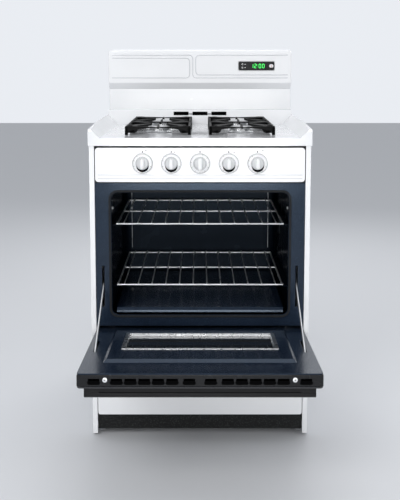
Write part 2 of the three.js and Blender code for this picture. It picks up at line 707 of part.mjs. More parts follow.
// ---------- door, modelled closed and then opened about its hinge ----------
const door = new THREE.Group();
const doorOuter = DOOR_INNER - DOOR_THICK;
const halfDoor = halfFace;
const linerY = DOOR_INNER; // inner face
const GLASS_THICK = 5;

function hung(name, geometry, finish) {
  const mesh = part(name, geometry.translate(0, -HINGE_Y, -HINGE_Z), finish);
  door.add(mesh);
}

// the door's shell: bottom, side and top edges, with vents along the top edge
function doorFrame() {
  const y0 = doorOuter + GLASS_THICK + GAP;
  const y1 = linerY - 3 - GAP;
  const outer = block(-halfDoor, halfDoor, y0, y1, DOOR_BOTTOM, DOOR_TOP);
  const inner = block(-halfDoor + 12, halfDoor - 12, y0 - 1, y1 + 1, DOOR_BOTTOM + 12, DOOR_TOP - 3);
  const cuts = [inner];
  const middle = (y0 + y1) / 2;
  for (const [, side] of BOTH_SIDES) {
    for (const x of DOOR_VENTS) {
      cuts.push(block(...across(side, x - DOOR_VENT_WIDTH / 2, x + DOOR_VENT_WIDTH / 2), middle - 4, middle + 4,
        DOOR_TOP - 6, DOOR_TOP + 1));
    }
  }
  return carved(outer, ...cuts);
}

function doorGlass() {
  return roundedSlab(-halfDoor, halfDoor, DOOR_BOTTOM, DOOR_TOP, 9, doorOuter, doorOuter + GLASS_THICK);
}

function doorLiner() {
  const y1 = linerY;
  const plate = roundedSlab(-halfDoor, halfDoor, DOOR_BOTTOM, DOOR_TOP, 9, y1 - 3, y1);
  const half = halfOpening - 8;
  const raised = hull([
    [-half, y1 - 1, OPENING_BOTTOM + 6], [half, y1 - 1, OPENING_BOTTOM + 6],
    [-half, y1 - 1, OPENING_TOP - 60], [half, y1 - 1, OPENING_TOP - 60],
    [-half + 8, y1 + 7, OPENING_BOTTOM + 14], [half - 8, y1 + 7, OPENING_BOTTOM + 14],
    [-half + 8, y1 + 7, OPENING_TOP - 72], [half - 8, y1 + 7, OPENING_TOP - 72]]);
  const w = WINDOW_WIDTH / 2;
  const windowHole = block(-w, w, y1 - 5, y1 + 10, WINDOW_LOW, WINDOW_HIGH);
  const slots = BOTH_SIDES.map(([, side]) =>
    block(...across(side, STAY_X - staySlot, STAY_X + staySlot), y1 - 5, y1 + 1, HINGE_Z + STAY_END - 95,
      HINGE_Z + STAY_END + 12));
  return carved(joined(plate, raised), windowHole, ...slots);
}

function windowFrame() {
  const w = WINDOW_WIDTH / 2 - GAP;
  const low = WINDOW_LOW + GAP;
  const high = WINDOW_HIGH - GAP;
  const outer = block(-w, w, linerY - 4, linerY + 9, low, high);
  const inner = block(-w + 11, w - 11, linerY - 5, linerY + 10, low + 11, high - 11);
  return carved(outer, inner);
}

function windowGlass() {
  const w = WINDOW_WIDTH / 2 - 11 - 2 * GAP;
  return block(-w, w, linerY - 2, linerY + 2, WINDOW_LOW + 11 + 2 * GAP, WINDOW_HIGH - 11 - 2 * GAP);
}

function doorHandle() {
  const w = HANDLE_WIDTH / 2;
  const face = doorOuter - GAP;
  const out = doorOuter - HANDLE_OUT;
  const z = DOOR_TOP - 26;
  const grip = sideways([[out + 4, z - 13], [out + 12, z - 13], [out + 14, z - 9], [out + 14, z + 9],
    [out + 12, z + 13], [out + 4, z + 13], [out, z + 8], [out, z - 8]], -w, w);
  const posts = BOTH_SIDES.map(([, side]) => block(...across(side, w - 36, w), out + 8, face, z - 12, z + 12));
  return joined(grip, ...posts);
}

hung("door_frame", doorFrame(), "black");
hung("door_glass", doorGlass(), "glass");
hung("door_liner", doorLiner(), "enamel");
hung("door_window_frame", windowFrame(), "aluminium");
hung("door_window_glass", windowGlass(), "glass");
hung("door_handle", doorHandle(), "black");
door.position.set(0, HINGE_Y, HINGE_Z);
door.rotation.x = THREE.MathUtils.degToRad(DOOR_OPEN);
range.add(door);

// each stay turns on a pin inside the door and runs through a slot in the oven face
const opened = THREE.MathUtils.degToRad(DOOR_OPEN);
const stayDrop = HINGE_Y - DOOR_INNER + STAY_PIN_DEPTH;
const stayPin = [
  HINGE_Y - STAY_END * Math.sin(opened) - stayDrop * Math.cos(opened),
  HINGE_Z + STAY_END * Math.cos(opened) - stayDrop * Math.sin(opened),
];

function doorStay(side) {
  const [x0, x1] = across(side, STAY_X - STAY_THICK / 2, STAY_X + STAY_THICK / 2);
  const half = STAY_WIDTH / 2;
  const tip = [STAY_TIP_Y, STAY_Z];
  const run = Math.hypot(tip[0] - stayPin[0], tip[1] - stayPin[1]);
  const outline = [[-half, -half + 2], [-half + 2, -half], [run, -half], [run + 3, 0], [run, half],
    [-half + 2, half], [-half, half - 2]];
  return sideways(outline, x0, x1)
    .rotateX(Math.atan2(tip[1] - stayPin[1], tip[0] - stayPin[0]))
    .translate(0, stayPin[0], stayPin[1]);
}
for (const [name, side] of BOTH_SIDES) {
  part(`door_stay_${name}`, doorStay(side), "steel");
}

// ---------- services at the back ----------
const INLET_X = -200;
const INLET_Z = 250;
const POWER_X = 180;
const POWER_Z = 200;
part("gas_inlet", joined(
  block(INLET_X - 34, INLET_X + 34, backInside - 60, backInside - GAP, INLET_Z - 26, INLET_Z + 26),
  bar([INLET_X, backInside - 50, INLET_Z], [INLET_X, backInside - 50, INLET_Z - 60], 11, 10)), "brass");
part("power_inlet", carved(
  bar([POWER_X, backInside + SHEET + GAP, POWER_Z], [POWER_X, backInside + SHEET + 5, POWER_Z], 16, 12),
  bar([POWER_X, backInside + SHEET + 2, POWER_Z], [POWER_X, backInside + SHEET + 6, POWER_Z], 8, 12)), "rubber");

// ---------- origin: on the floor, under the middle of the box around the range ----------
const around = new THREE.Box3().setFromObject(range);
range.position.set(0, -(around.min.y + around.max.y) / 2, -around.min.z);

export default range;
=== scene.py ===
"""A freestanding gas range with its oven door open, dressed around the frame."""
import json
import math

import bmesh
import bpy
from mathutils import Matrix, Vector
from mathutils.bvhtree import BVHTree


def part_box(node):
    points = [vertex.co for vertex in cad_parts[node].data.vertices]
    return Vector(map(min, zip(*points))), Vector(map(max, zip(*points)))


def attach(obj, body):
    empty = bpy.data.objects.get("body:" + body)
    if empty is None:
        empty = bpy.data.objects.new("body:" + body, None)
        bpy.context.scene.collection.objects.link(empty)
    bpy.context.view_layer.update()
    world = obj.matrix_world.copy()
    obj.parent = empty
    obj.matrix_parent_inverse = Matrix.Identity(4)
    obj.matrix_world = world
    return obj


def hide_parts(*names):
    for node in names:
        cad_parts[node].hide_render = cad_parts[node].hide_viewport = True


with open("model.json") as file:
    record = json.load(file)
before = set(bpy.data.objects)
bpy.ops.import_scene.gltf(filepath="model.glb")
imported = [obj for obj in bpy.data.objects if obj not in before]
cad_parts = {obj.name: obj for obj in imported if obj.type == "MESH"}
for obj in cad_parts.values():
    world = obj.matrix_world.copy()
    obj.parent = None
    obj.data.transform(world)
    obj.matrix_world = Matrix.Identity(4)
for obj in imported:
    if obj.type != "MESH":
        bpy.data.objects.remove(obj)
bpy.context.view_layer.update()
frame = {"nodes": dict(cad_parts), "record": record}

# ---------------------------------------------------------------- camera, light and floor
CAMERA_HEIGHT = 1.054
CAMERA_BACK = 2.393  # from the middle of the frame
CAMERA_PITCH = 6.70  # degrees below level
CAMERA_LENS = 60.8
CAMERA_SHIFT = -0.18
FLOOR_REACH = 12.0
FLOOR_LEVEL = -0.0005
SKY_IN_FRONT = 0.24
SKY_BEHIND = 0.9


def make_camera():
    data = bpy.data.cameras.new("camera")
    data.lens = CAMERA_LENS
    data.sensor_width = 36.0
    data.shift_y = CAMERA_SHIFT
    camera = bpy.data.objects.new("camera", data)
    camera.location = (0.0, -CAMERA_BACK, CAMERA_HEIGHT)
    camera.rotation_euler = (math.radians(90.0 - CAMERA_PITCH), 0.0, 0.0)
    bpy.context.scene.collection.objects.link(camera)
    bpy.context.scene.camera = camera


def make_light(name, place, aim, size, power, colour=(1.0, 1.0, 1.0)):
    data = bpy.data.lights.new(name, "AREA")
    data.shape = "RECTANGLE"
    data.size, data.size_y = size
    data.energy = power
    data.color = colour
    lamp = bpy.data.objects.new(name, data)
    lamp.location = place
    lamp.rotation_euler = (Vector(aim) - Vector(place)).to_track_quat("-Z", "Y").to_euler()
    bpy.context.scene.collection.objects.link(lamp)


def make_surroundings():
    bpy.context.scene.view_settings.view_transform = "Standard"
    world = bpy.data.worlds.new("studio")
    bpy.context.scene.world = world
    world.use_nodes = True
    tree = world.node_tree
    background = tree.nodes["Background"]
    background.inputs["Color"].default_value = (0.92, 0.95, 1.0, 1.0)
    place = tree.nodes.new("ShaderNodeTexCoord")
    axes = tree.nodes.new("ShaderNodeSeparateXYZ")
    ramp = tree.nodes.new("ShaderNodeMapRange")
    ramp.inputs["From Min"].default_value = -1.0
    ramp.inputs["To Min"].default_value = SKY_IN_FRONT
    ramp.inputs["To Max"].default_value = SKY_BEHIND
    tree.links.new(place.outputs["Generated"], axes.inputs["Vector"])
    tree.links.new(axes.outputs["Y"], ramp.inputs["Value"])
    tree.links.new(ramp.outputs["Result"], background.inputs["Strength"])
    make_light("key", (-1.6, -2.6, 2.6), (0.0, 0.0, 0.7), (1.6, 1.6), 44.0)
    make_light("fill", (2.2, -2.2, 1.7), (0.0, 0.0, 0.6), (1.2, 2.0), 20.0)
    make_light("top", (0.0, -0.3, 2.7), (0.0, 0.0, 0.8), (1.6, 1.0), 9.0)
    make_light("back", (0.4, 2.4, 2.2), (0.0, 0.2, 0.8), (2.0, 1.6), 24.0)
    make_light("low", (0.0, -2.8, 0.6), (0.0, 0.0, 0.45), (1.0, 0.5), 21.0)
    mesh = bpy.data.meshes.new("floor")
    turns = ((-1, -1), (1, -1), (1, 1), (-1, 1))
    corners = [(x * FLOOR_REACH, y * FLOOR_REACH, FLOOR_LEVEL) for x, y in turns]
    mesh.from_pydata(corners, [], [(0, 1, 2, 3)])
    floor = bpy.data.objects.new("floor", mesh)
    bpy.context.scene.collection.objects.link(floor)
    material = bpy.data.materials.new("pale_floor")
    material.use_nodes = True
    shader = material.node_tree.nodes["Principled BSDF"]
    shader.inputs["Base Color"].default_value = (0.66, 0.67, 0.69, 1.0)
    shader.inputs["Roughness"].default_value = 0.75
    mesh.materials.append(material)


# ---------------------------------------------------------------- effects that finishes share
def new_group(name, numbers, outputs):
    """A shader group with a vector input, the named number inputs, and the named outputs."""
    group = bpy.data.node_groups.new(name, "ShaderNodeTree")
    for label, value in numbers:
        socket = group.interface.new_socket(label, in_out="INPUT", socket_type="NodeSocketFloat")
        socket.default_value = value
    for label, kind in outputs:
        group.interface.new_socket(label, in_out="OUTPUT", socket_type=kind)
    return group, group.nodes.new("NodeGroupInput"), group.nodes.new("NodeGroupOutput")


def object_noise(tree, scale_socket, detail, stretch=(1.0, 1.0, 1.0)):
    """Noise in the object's own space; scale_socket drives its scale."""
    place = tree.nodes.new("ShaderNodeTexCoord")
    mapping = tree.nodes.new("ShaderNodeMapping")
    mapping.inputs["Scale"].default_value = stretch
    noise = tree.nodes.new("ShaderNodeTexNoise")
    noise.inputs["Detail"].default_value = detail
    tree.links.new(place.outputs["Object"], mapping.inputs["Vector"])
    tree.links.new(mapping.outputs["Vector"], noise.inputs["Vector"])
    tree.links.new(scale_socket, noise.inputs["Scale"])
    return noise


def remap(tree, value, low, high):
    """value from 0 to 1 becomes low to high; low and high are sockets or numbers."""
    node = tree.nodes.new("ShaderNodeMapRange")
    tree.links.new(value, node.inputs["Value"])
    for label, end in (("To Min", low), ("To Max", high)):
        if isinstance(end, (int, float)):
            node.inputs[label].default_value = end
        else:
            tree.links.new(end, node.inputs[label])
    return node.outputs["Result"]


def make_mottle():
    """Faint cloudiness and fingerprints: a roughness and a brightness that wander."""
    group, source, sink = new_group(
        "mottle",
        [("Scale", 9.0), ("Rough Low", 0.2), ("Rough High", 0.3), ("Dark", 0.94), ("Light", 1.0)],
        [("Roughness", "NodeSocketFloat"), ("Brightness", "NodeSocketFloat")],
    )
    noise = object_noise(group, source.outputs["Scale"], 5.0)
    rough = remap(group, noise.outputs["Fac"], source.outputs["Rough Low"], source.outputs["Rough High"])
    bright = remap(group, noise.outputs["Fac"], source.outputs["Dark"], source.outputs["Light"])
    group.links.new(rough, sink.inputs["Roughness"])
    group.links.new(bright, sink.inputs["Brightness"])
    return group


def make_skin():
    """The fine ripple of sprayed enamel, or of a casting where it is large: a bump height."""
    group, source, sink = new_group(
        "skin", [("Scale", 420.0), ("Depth", 1.0)], [("Height", "NodeSocketFloat")]
    )
    noise = object_noise(group, source.outputs["Scale"], 3.0)
    height = remap(group, noise.outputs["Fac"], 0.0, source.outputs["Depth"])
    group.links.new(height, sink.inputs["Height"])
    return group


def make_speckle():
    """Small pale flecks scattered through enamel: a mask."""
    group, source, sink = new_group(
        "speckle", [("Scale", 260.0), ("Size", 0.16), ("Strength", 1.0)], [("Mask", "NodeSocketFloat")]
    )
    place = group.nodes.new("ShaderNodeTexCoord")
    cells = group.nodes.new("ShaderNodeTexVoronoi")
    cells.inputs["Randomness"].default_value = 1.0
    group.links.new(place.outputs["Object"], cells.inputs["Vector"])
    group.links.new(source.outputs["Scale"], cells.inputs["Scale"])
    near = group.nodes.new("ShaderNodeMapRange")
    near.inputs["To Min"].default_value = 1.0
    near.inputs["To Max"].default_value = 0.0
    group.links.new(cells.outputs["Distance"], near.inputs["Value"])
    group.links.new(source.outputs["Size"], near.inputs["From Max"])
    amount = group.nodes.new("ShaderNodeMath")
    amount.operation = "MULTIPLY"
    group.links.new(near.outputs["Result"], amount.inputs[0])
    group.links.new(source.outputs["Strength"], amount.inputs[1])
    group.links.new(amount.outputs["Value"], sink.inputs["Mask"])
    return group


def make_edge_wear():
    """Convex edges where a finish rubs thin: a mask."""
    group, source, sink = new_group(
        "edge_wear", [("Scale", 60.0), ("Amount", 0.3)], [("Mask", "NodeSocketFloat")]
    )
    geometry = group.nodes.new("ShaderNodeNewGeometry")
    edge = group.nodes.new("ShaderNodeMapRange")
    edge.inputs["From Min"].default_value = 0.52
    edge.inputs["From Max"].default_value = 0.64
    group.links.new(geometry.outputs["Pointiness"], edge.inputs["Value"])
    noise = object_noise(group, source.outputs["Scale"], 4.0)
    broken = group.nodes.new("ShaderNodeMath")
    broken.operation = "MULTIPLY"
    group.links.new(edge.outputs["Result"], broken.inputs[0])
    group.links.new(noise.outputs["Fac"], broken.inputs[1])
    amount = group.nodes.new("ShaderNodeMath")
    amount.operation = "MULTIPLY"
    group.links.new(broken.outputs["Value"], amount.inputs[0])
    group.links.new(source.outputs["Amount"], amount.inputs[1])
    group.links.new(amount.outputs["Value"], sink.inputs["Mask"])
    return group


EFFECTS = {
    "mottle": make_mottle(),
    "skin": make_skin(),
    "speckle": make_speckle(),
    "edge_wear": make_edge_wear(),
}


# ---------------------------------------------------------------- finishes
def effect(tree, name, **values):
    node = tree.nodes.new("ShaderNodeGroup")
    node.node_tree = EFFECTS[name]
    for label, value in values.items():
        node.inputs[label.replace("_", " ")].default_value = value
    return node


def scaled_colour(tree, colour, factor):
    node = tree.nodes.new("ShaderNodeMix")
    node.data_type = "RGBA"
    node.blend_type = "MULTIPLY"
    node.inputs["Factor"].default_value = 1.0
    node.inputs["A"].default_value = (*colour, 1.0)
    tree.links.new(factor, node.inputs["B"])
    return node.outputs["Result"]


def mixed_colour(tree, below, above, mask):
    node = tree.nodes.new("ShaderNodeMix")
    node.data_type = "RGBA"
    tree.links.new(mask, node.inputs["Factor"])
    tree.links.new(below, node.inputs["A"])
    node.inputs["B"].default_value = (*above, 1.0)
    return node.outputs["Result"]


def finish(name, colour, rough, metallic=0.0, mottle=(9.0, 0.95), skin=(420.0, 0.0004, 0.15),
           flecks=None, wear=None, **constants):
    """A finish: wandering colour and roughness, a fine skin, and where asked, flecks and worn edges."""
    material = bpy.data.materials.new(name)
    material.use_nodes = True
    tree = material.node_tree
    shader = tree.nodes["Principled BSDF"]
    cloud = effect(tree, "mottle", Scale=mottle[0], Rough_Low=rough[0], Rough_High=rough[1], Dark=mottle[1])
    base = scaled_colour(tree, colour, cloud.outputs["Brightness"])
    if flecks:
        scale, size, strength, tint = flecks
        dots = effect(tree, "speckle", Scale=scale, Size=size, Strength=strength)
        base = mixed_colour(tree, base, tint, dots.outputs["Mask"])
    if wear:
        scale, amount, tint = wear
        rubbed = effect(tree, "edge_wear", Scale=scale, Amount=amount)
        base = mixed_colour(tree, base, tint, rubbed.outputs["Mask"])
    tree.links.new(base, shader.inputs["Base Color"])
    tree.links.new(cloud.outputs["Roughness"], shader.inputs["Roughness"])
    shader.inputs["Metallic"].default_value = metallic
    scale, distance, strength = skin
    ripple = effect(tree, "skin", Scale=scale)
    bump = tree.nodes.new("ShaderNodeBump")
    bump.inputs["Distance"].default_value = distance
    bump.inputs["Strength"].default_value = strength
    tree.links.new(ripple.outputs["Height"], bump.inputs["Height"])
    tree.links.new(bump.outputs["Normal"], shader.inputs["Normal"])
    for label, value in constants.items():
        shader.inputs[label.replace("_", " ")].default_value = value
    return material


FINISHES = {
    "white_paint": finish("white_paint", (0.86, 0.87, 0.885), (0.2, 0.3), Coat_Weight=0.25,
                          Coat_Roughness=0.12),
    "white_porcelain": finish("white_porcelain", (0.84, 0.85, 0.87), (0.1, 0.18),
                              skin=(160.0, 0.0006, 0.12), Coat_Weight=0.5, Coat_Roughness=0.05),
    "galvanised_sheet": finish("galvanised_sheet", (0.56, 0.58, 0.6), (0.32, 0.5), 0.9, mottle=(60.0, 0.72),
                               flecks=(45.0, 0.5, 0.18, (0.75, 0.77, 0.8)), skin=(300.0, 0.0003, 0.2)),
    "charcoal_paint": finish("charcoal_paint", (0.006, 0.0065, 0.007), (0.5, 0.65), mottle=(60.0, 0.5),
                             skin=(500.0, 0.001, 0.7), flecks=(230.0, 0.4, 0.8, (0.06, 0.068, 0.064)),
                             Specular_IOR_Level=0.25),
    "dark_enamel": finish("dark_enamel", (0.009, 0.016, 0.031), (0.14, 0.3), mottle=(14.0, 0.6),
                          flecks=(360.0, 0.3, 0.4, (0.12, 0.17, 0.26)), skin=(220.0, 0.0006, 0.2),
                          Specular_IOR_Level=0.3, Specular_Tint=(0.6, 0.78, 1.0, 1.0), Coat_Weight=0.12,
                          Coat_Roughness=0.08),
    "black_paint": finish("black_paint", (0.009, 0.0095, 0.011), (0.2, 0.32), mottle=(18.0, 0.7),
                          wear=(80.0, 0.12, (0.1, 0.1, 0.11)), Specular_IOR_Level=0.22),
    "black_plastic": finish("black_plastic", (0.007, 0.007, 0.008), (0.26, 0.4), mottle=(22.0, 0.75),
                            skin=(900.0, 0.0003, 0.25), Specular_IOR_Level=0.22),
    "white_plastic": finish("white_plastic", (0.84, 0.845, 0.85), (0.26, 0.38), mottle=(40.0, 0.95),
                            skin=(900.0, 0.0002, 0.2), Subsurface_Weight=0.04, Subsurface_Scale=0.002),
    "rack_chrome": finish("rack_chrome", (0.8, 0.81, 0.83), (0.22, 0.38), 0.85, mottle=(40.0, 0.7)),
    "stay_steel": finish("stay_steel", (0.88, 0.89, 0.9), (0.3, 0.46), 0.75, mottle=(50.0, 0.8),
                         skin=(700.0, 0.0002, 0.3)),
    "burner_steel": finish("burner_steel", (0.4, 0.38, 0.36), (0.4, 0.6), 0.9, mottle=(24.0, 0.6)),
    "foot_steel": finish("foot_steel", (0.5, 0.51, 0.53), (0.35, 0.5), 0.9, mottle=(50.0, 0.7)),
    "burner_aluminium": finish("burner_aluminium", (0.68, 0.69, 0.7), (0.3, 0.46), 0.9, mottle=(60.0, 0.82),
                               skin=(800.0, 0.0005, 0.5), wear=(90.0, 0.4, (0.85, 0.85, 0.86))),
    "aluminium_trim": finish("aluminium_trim", (0.8, 0.81, 0.82), (0.22, 0.34), 1.0, mottle=(70.0, 0.88)),
    "grate_iron": finish("grate_iron", (0.003, 0.003, 0.0034), (0.42, 0.6), mottle=(60.0, 0.6),
                         skin=(520.0, 0.001, 0.4), wear=(120.0, 0.15, (0.03, 0.03, 0.03)),
                         Specular_IOR_Level=0.12),
    "pipe_metal": finish("pipe_metal", (0.5, 0.42, 0.24), (0.3, 0.45), 0.9, mottle=(40.0, 0.7)),
    "black_glass": finish("black_glass", (0.008, 0.009, 0.012), (0.03, 0.07), mottle=(6.0, 0.8),
                          skin=(60.0, 0.0001, 0.05), Coat_Weight=0.5, Coat_Roughness=0.02),
    "window_glass": finish("window_glass", (0.012, 0.014, 0.017), (0.04, 0.1), mottle=(10.0, 0.7),
                           skin=(60.0, 0.0001, 0.05), Coat_Weight=0.5, Coat_Roughness=0.02),
    "lamp_glass": finish("lamp_glass", (0.85, 0.84, 0.8), (0.05, 0.15), Transmission_Weight=0.6),
    "gasket": finish("gasket", (0.004, 0.005, 0.007), (0.7, 0.9), mottle=(120.0, 0.5),
                     skin=(700.0, 0.002, 0.9)),
    "rubber_gland": finish("rubber_gland", (0.015, 0.015, 0.016), (0.6, 0.8), skin=(900.0, 0.0005, 0.4)),
    "printed_black": finish("printed_black", (0.0008, 0.0008, 0.001), (0.7, 0.8), Specular_IOR_Level=0.03),
    # grey for the dial ticks, which are print, and for painted shade circles round the skirt and the hub
    "grey_print_and_shade": finish("grey_print_and_shade", (0.16, 0.165, 0.17), (0.35, 0.45)),
    "printed_white": finish("printed_white", (0.8, 0.8, 0.8), (0.35, 0.45)),
    "printed_red": finish("printed_red", (0.45, 0.03, 0.03), (0.35, 0.45)),
    "lit_green": finish("lit_green", (0.02, 0.35, 0.06), (0.35, 0.45), Emission_Strength=1.6,
                        Emission_Color=(0.05, 0.9, 0.12, 1.0)),
    # a darker copy of the knob's white plastic: painted shade on the hub round the grip
    "hub_shaded_white": finish("hub_shaded_white", (0.6, 0.61, 0.62), (0.3, 0.42), mottle=(40.0, 0.95),
                        skin=(900.0, 0.0002, 0.2)),
    # a darker copy of the white paint: painted shade along the pressed lines and in the control panel's
    # fold
    "crease_shade_white": finish("crease_shade_white", (0.66, 0.67, 0.7), (0.2, 0.3), Coat_Weight=0.25,
                            Coat_Roughness=0.12),
    "oven_enamel": finish("oven_enamel", (0.002, 0.0038, 0.008), (0.16, 0.34), mottle=(16.0, 0.6),
                          flecks=(420.0, 0.16, 0.12, (0.1, 0.12, 0.18)), skin=(220.0, 0.0005, 0.15),
                          Specular_IOR_Level=0.12, Specular_Tint=(0.6, 0.78, 1.0, 1.0)),
}
SLOT_OF = {row["node"]: row["material_slot"] for row in frame["record"]["subparts"]}
BODY_OF = {node: body for body, nodes in frame["record"]["behaviour"]["bodies"].items() for node in nodes}


def paint(obj, slot):
    obj.data.materials.clear()
    obj.data.materials.append(FINISHES[slot])


# ---------------------------------------------------------------- mesh tools
def link(obj):
    bpy.context.scene.collection.objects.link(obj)
    return obj


def soften(mesh, angle=35.0):
    """Smooth faces, with the edges sharper than angle kept sharp."""
    for face in mesh.polygons:
        face.use_smooth = True
    mesh.set_sharp_from_angle(angle=math.radians(angle))


def refined(node, radius, segments=3, angle=30.0):
    """The CAD node with its flat faces made whole and its edges rounded like pressed or moulded ones."""
    source = frame["nodes"][node]
    work = bmesh.new()
    work.from_mesh(source.data)
    bmesh.ops.remove_doubles(work, verts=work.verts, dist=1e-6)
    bmesh.ops.dissolve_limit(work, angle_limit=math.radians(1.0), verts=work.verts, edges=work.edges)
    mesh = bpy.data.meshes.new(node + "_fine")
    work.to_mesh(mesh)
    work.free()
    piece = link(bpy.data.objects.new(node + "_fine", mesh))
    bevel = piece.modifiers.new("edges", "BEVEL")
    bevel.width = radius
    bevel.segments = segments
    bevel.limit_method = "ANGLE"
    bevel.angle_limit = math.radians(angle)
    bevel.use_clamp_overlap = True
    soften(mesh, 40.0)
    normals = piece.modifiers.new("normals", "WEIGHTED_NORMAL")
    normals.keep_sharp = True
    paint(piece, SLOT_OF[node])
    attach(piece, BODY_OF[node])
    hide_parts(node)
    return piece


def new_piece(name, mesh, body, slot, replaced=()):
    piece = link(bpy.data.objects.new(name, mesh))
    paint(piece, slot)
    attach(piece, body)
    if replaced:
        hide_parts(*replaced)
    return piece


def mesh_of(name, work, angle=35.0):
    bmesh.ops.recalc_face_normals(work, faces=work.faces)
    mesh = bpy.data.meshes.new(name)
    work.to_mesh(mesh)
    work.free()
    soften(mesh, angle)
    return mesh


def add_turned(work, profile, segments, matrix):
    """Turns [radius, height] about Z, closed at both ends, and places it by matrix."""
    rings = []
    for radius, height in profile:
        ring = []
        for i in range(segments):
            a = 2.0 * math.pi * i / segments
            spoke = Vector((radius * math.cos(a), radius * math.sin(a), height))
            ring.append(work.verts.new(matrix @ spoke))
        rings.append(ring)
    for low, high in zip(rings, rings[1:]):
        for i in range(segments):
            j = (i + 1) % segments
            work.faces.new((low[i], low[j], high[j], high[i]))
    work.faces.new(list(reversed(rings[0])))
    work.faces.new(rings[-1])


def add_box(work, low, high, matrix=None):
    corners = [
        Vector((x, y, z)) for z in (low[2], high[2]) for y in (low[1], high[1]) for x in (low[0], high[0])
    ]
    verts = [work.verts.new(matrix @ c if matrix else c) for c in corners]
    for loop in ((0, 2, 3, 1), (4, 5, 7, 6), (0, 1, 5, 4), (2, 6, 7, 3), (0, 4, 6, 2), (1, 3, 7, 5)):
        work.faces.new([verts[i] for i in loop])


def add_tube(work, path, radius, sides=10):
    """A round wire along path, closed at both ends."""
    points = [Vector(p) for p in path]
    rings = []
    for k, point in enumerate(points):
        ahead = points[min(k + 1, len(points) - 1)] - points[max(k - 1, 0)]
        turn = ahead.to_track_quat("Z", "Y").to_matrix()
        ring = []
        for i in range(sides):
            a = 2.0 * math.pi * i / sides
            spoke = Vector((radius * math.cos(a), radius * math.sin(a), 0.0))
            ring.append(work.verts.new(point + turn @ spoke))
        rings.append(ring)
    for low, high in zip(rings, rings[1:]):
        for i in range(sides):
            j = (i + 1) % sides
            work.faces.new((low[i], low[j], high[j], high[i]))
    work.faces.new(list(reversed(rings[0])))
    work.faces.new(rings[-1])


make_camera()
make_surroundings()


# ---------------------------------------------------------------- pressed, cast and moulded pieces
for node_name, node_object in frame["nodes"].items():
    paint(node_object, SLOT_OF[node_name])

ROUNDED = {  # radius of the rounded edges of each piece, in metres
    "side_panel_left": 0.0007,
    "side_panel_right": 0.0007,
    "kick_plate": 0.0007,
    "back_panel": 0.0004,
    "backguard_body": 0.0025,
    "oven_front_frame": 0.0009,
    "oven_liner": 0.0009,
    "oven_floor": 0.0012,
    "oven_gasket": 0.0009,
    "cooktop": 0.0035,
    "control_panel": 0.0035,
    "clock_module": 0.0010,
    "clock_button": 0.0016,
    "drawer_front": 0.0040,
    "drawer_bin": 0.0007,
    "drawer_rail_left": 0.0006,
    "drawer_rail_right": 0.0006,
    "door_frame": 0.0012,
    "door_glass": 0.0015,
    "door_liner": 0.0011,
    "door_window_frame": 0.0015,
    "door_window_glass": 0.0008,
    "door_handle": 0.0035,
    "door_stay_left": 0.0006,
    "door_stay_right": 0.0006,
    "gas_inlet": 0.0020,
    "power_inlet": 0.0010,
    "backguard_fascia": 0.0030,
}
FINE = {node: refined(node, radius) for node, radius in ROUNDED.items()}

BOX = {node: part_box(node) for node in SLOT_OF}

REVEAL = 0.994  # the shut drawer front and the control panel, beside the opening they fill
for node_name in ("drawer_front", "control_panel"):
    for vertex in FINE[node_name].data.vertices:
        vertex.co.x *= REVEAL
CORNERS = ("front_left", "front_right", "rear_left", "rear_right")
KNOBS = ("rear_left", "front_left", "oven", "front_right", "rear_right")
MM = 0.001


def middle(node):
    low, high = BOX[node]
    return (low + high) / 2.0


def facing_front(centre):
    """A matrix that turns +Z towards the front of the range and puts it at centre."""
    return Matrix.Translation(centre) @ Matrix.Rotation(math.radians(90.0), 4, "X")


# ---------------------------------------------------------------- flat printing and small marks
def add_plate(work, outline, front, back):
    """A thin plate; outline is (x, z) points, anticlockwise from the front."""
    near = [work.verts.new((x, front, z)) for x, z in outline]
    far = [work.verts.new((x, back, z)) for x, z in outline]
    work.faces.new(near)
    work.faces.new(list(reversed(far)))
    for i in range(len(outline)):
        j = (i + 1) % len(outline)
        work.faces.new((near[j], near[i], far[i], far[j]))


def disc_outline(x, z, radius, count=16):
    return [
        (x + radius * math.cos(2.0 * math.pi * i / count), z + radius * math.sin(2.0 * math.pi * i / count))
        for i in range(count)
    ]


def arc_outline(x, z, inner, outer, start, end, count=14):
    """A band round (x, z) between two angles; inner and outer may be functions of how far along it is."""
    points = []
    for sweep, reach in ((range(count + 1), outer), (range(count, -1, -1), inner)):
        for i in sweep:
            along = i / count
            a = math.radians(start + (end - start) * along)
            r = reach(along) if callable(reach) else reach
            points.append((x + r * math.cos(a), z + r * math.sin(a)))
    return points


def tick_outline(x, z, angle, inner, outer, half):
    a = math.radians(angle)
    along = Vector((math.cos(a), math.sin(a)))
    beside = Vector((-math.sin(a), math.cos(a))) * half
    centre = Vector((x, z))
    near, far = along * inner, along * outer
    corners = (near - beside, far - beside, far + beside, near + beside)
    return [tuple(centre + c) for c in corners]


def bar_outline(x, z, half, long, count=10):
    """An upright bar with round ends, half wide each side of x and long each way from z."""
    points = []
    for start, up in ((0, 1), (180, -1)):
        for i in range(count + 1):
            a = math.radians(start + 180 * i / count)
            points.append((x + half * math.cos(a), z + up * (long - half) + half * math.sin(a)))
    return points


def add_skin(work, rings):
    """Join rings of points into one closed shape."""
    for a, b in zip(rings, rings[1:]):
        for i in range(len(a)):
            j = (i + 1) % len(a)
            work.faces.new((a[i], a[j], b[j], b[i]))
    work.faces.new(list(reversed(rings[0])))
    work.faces.new(rings[-1])


# ---------------------------------------------------------------- knobs
OVEN_TICKS = 9
OVEN_SWEEP = 290  # degrees of the oven dial that carry marks
BURNER_TICKS = 7
BURNER_SWEEP = 250
SKIRT = 28 * MM
GRIP_RADIUS = 17 * MM


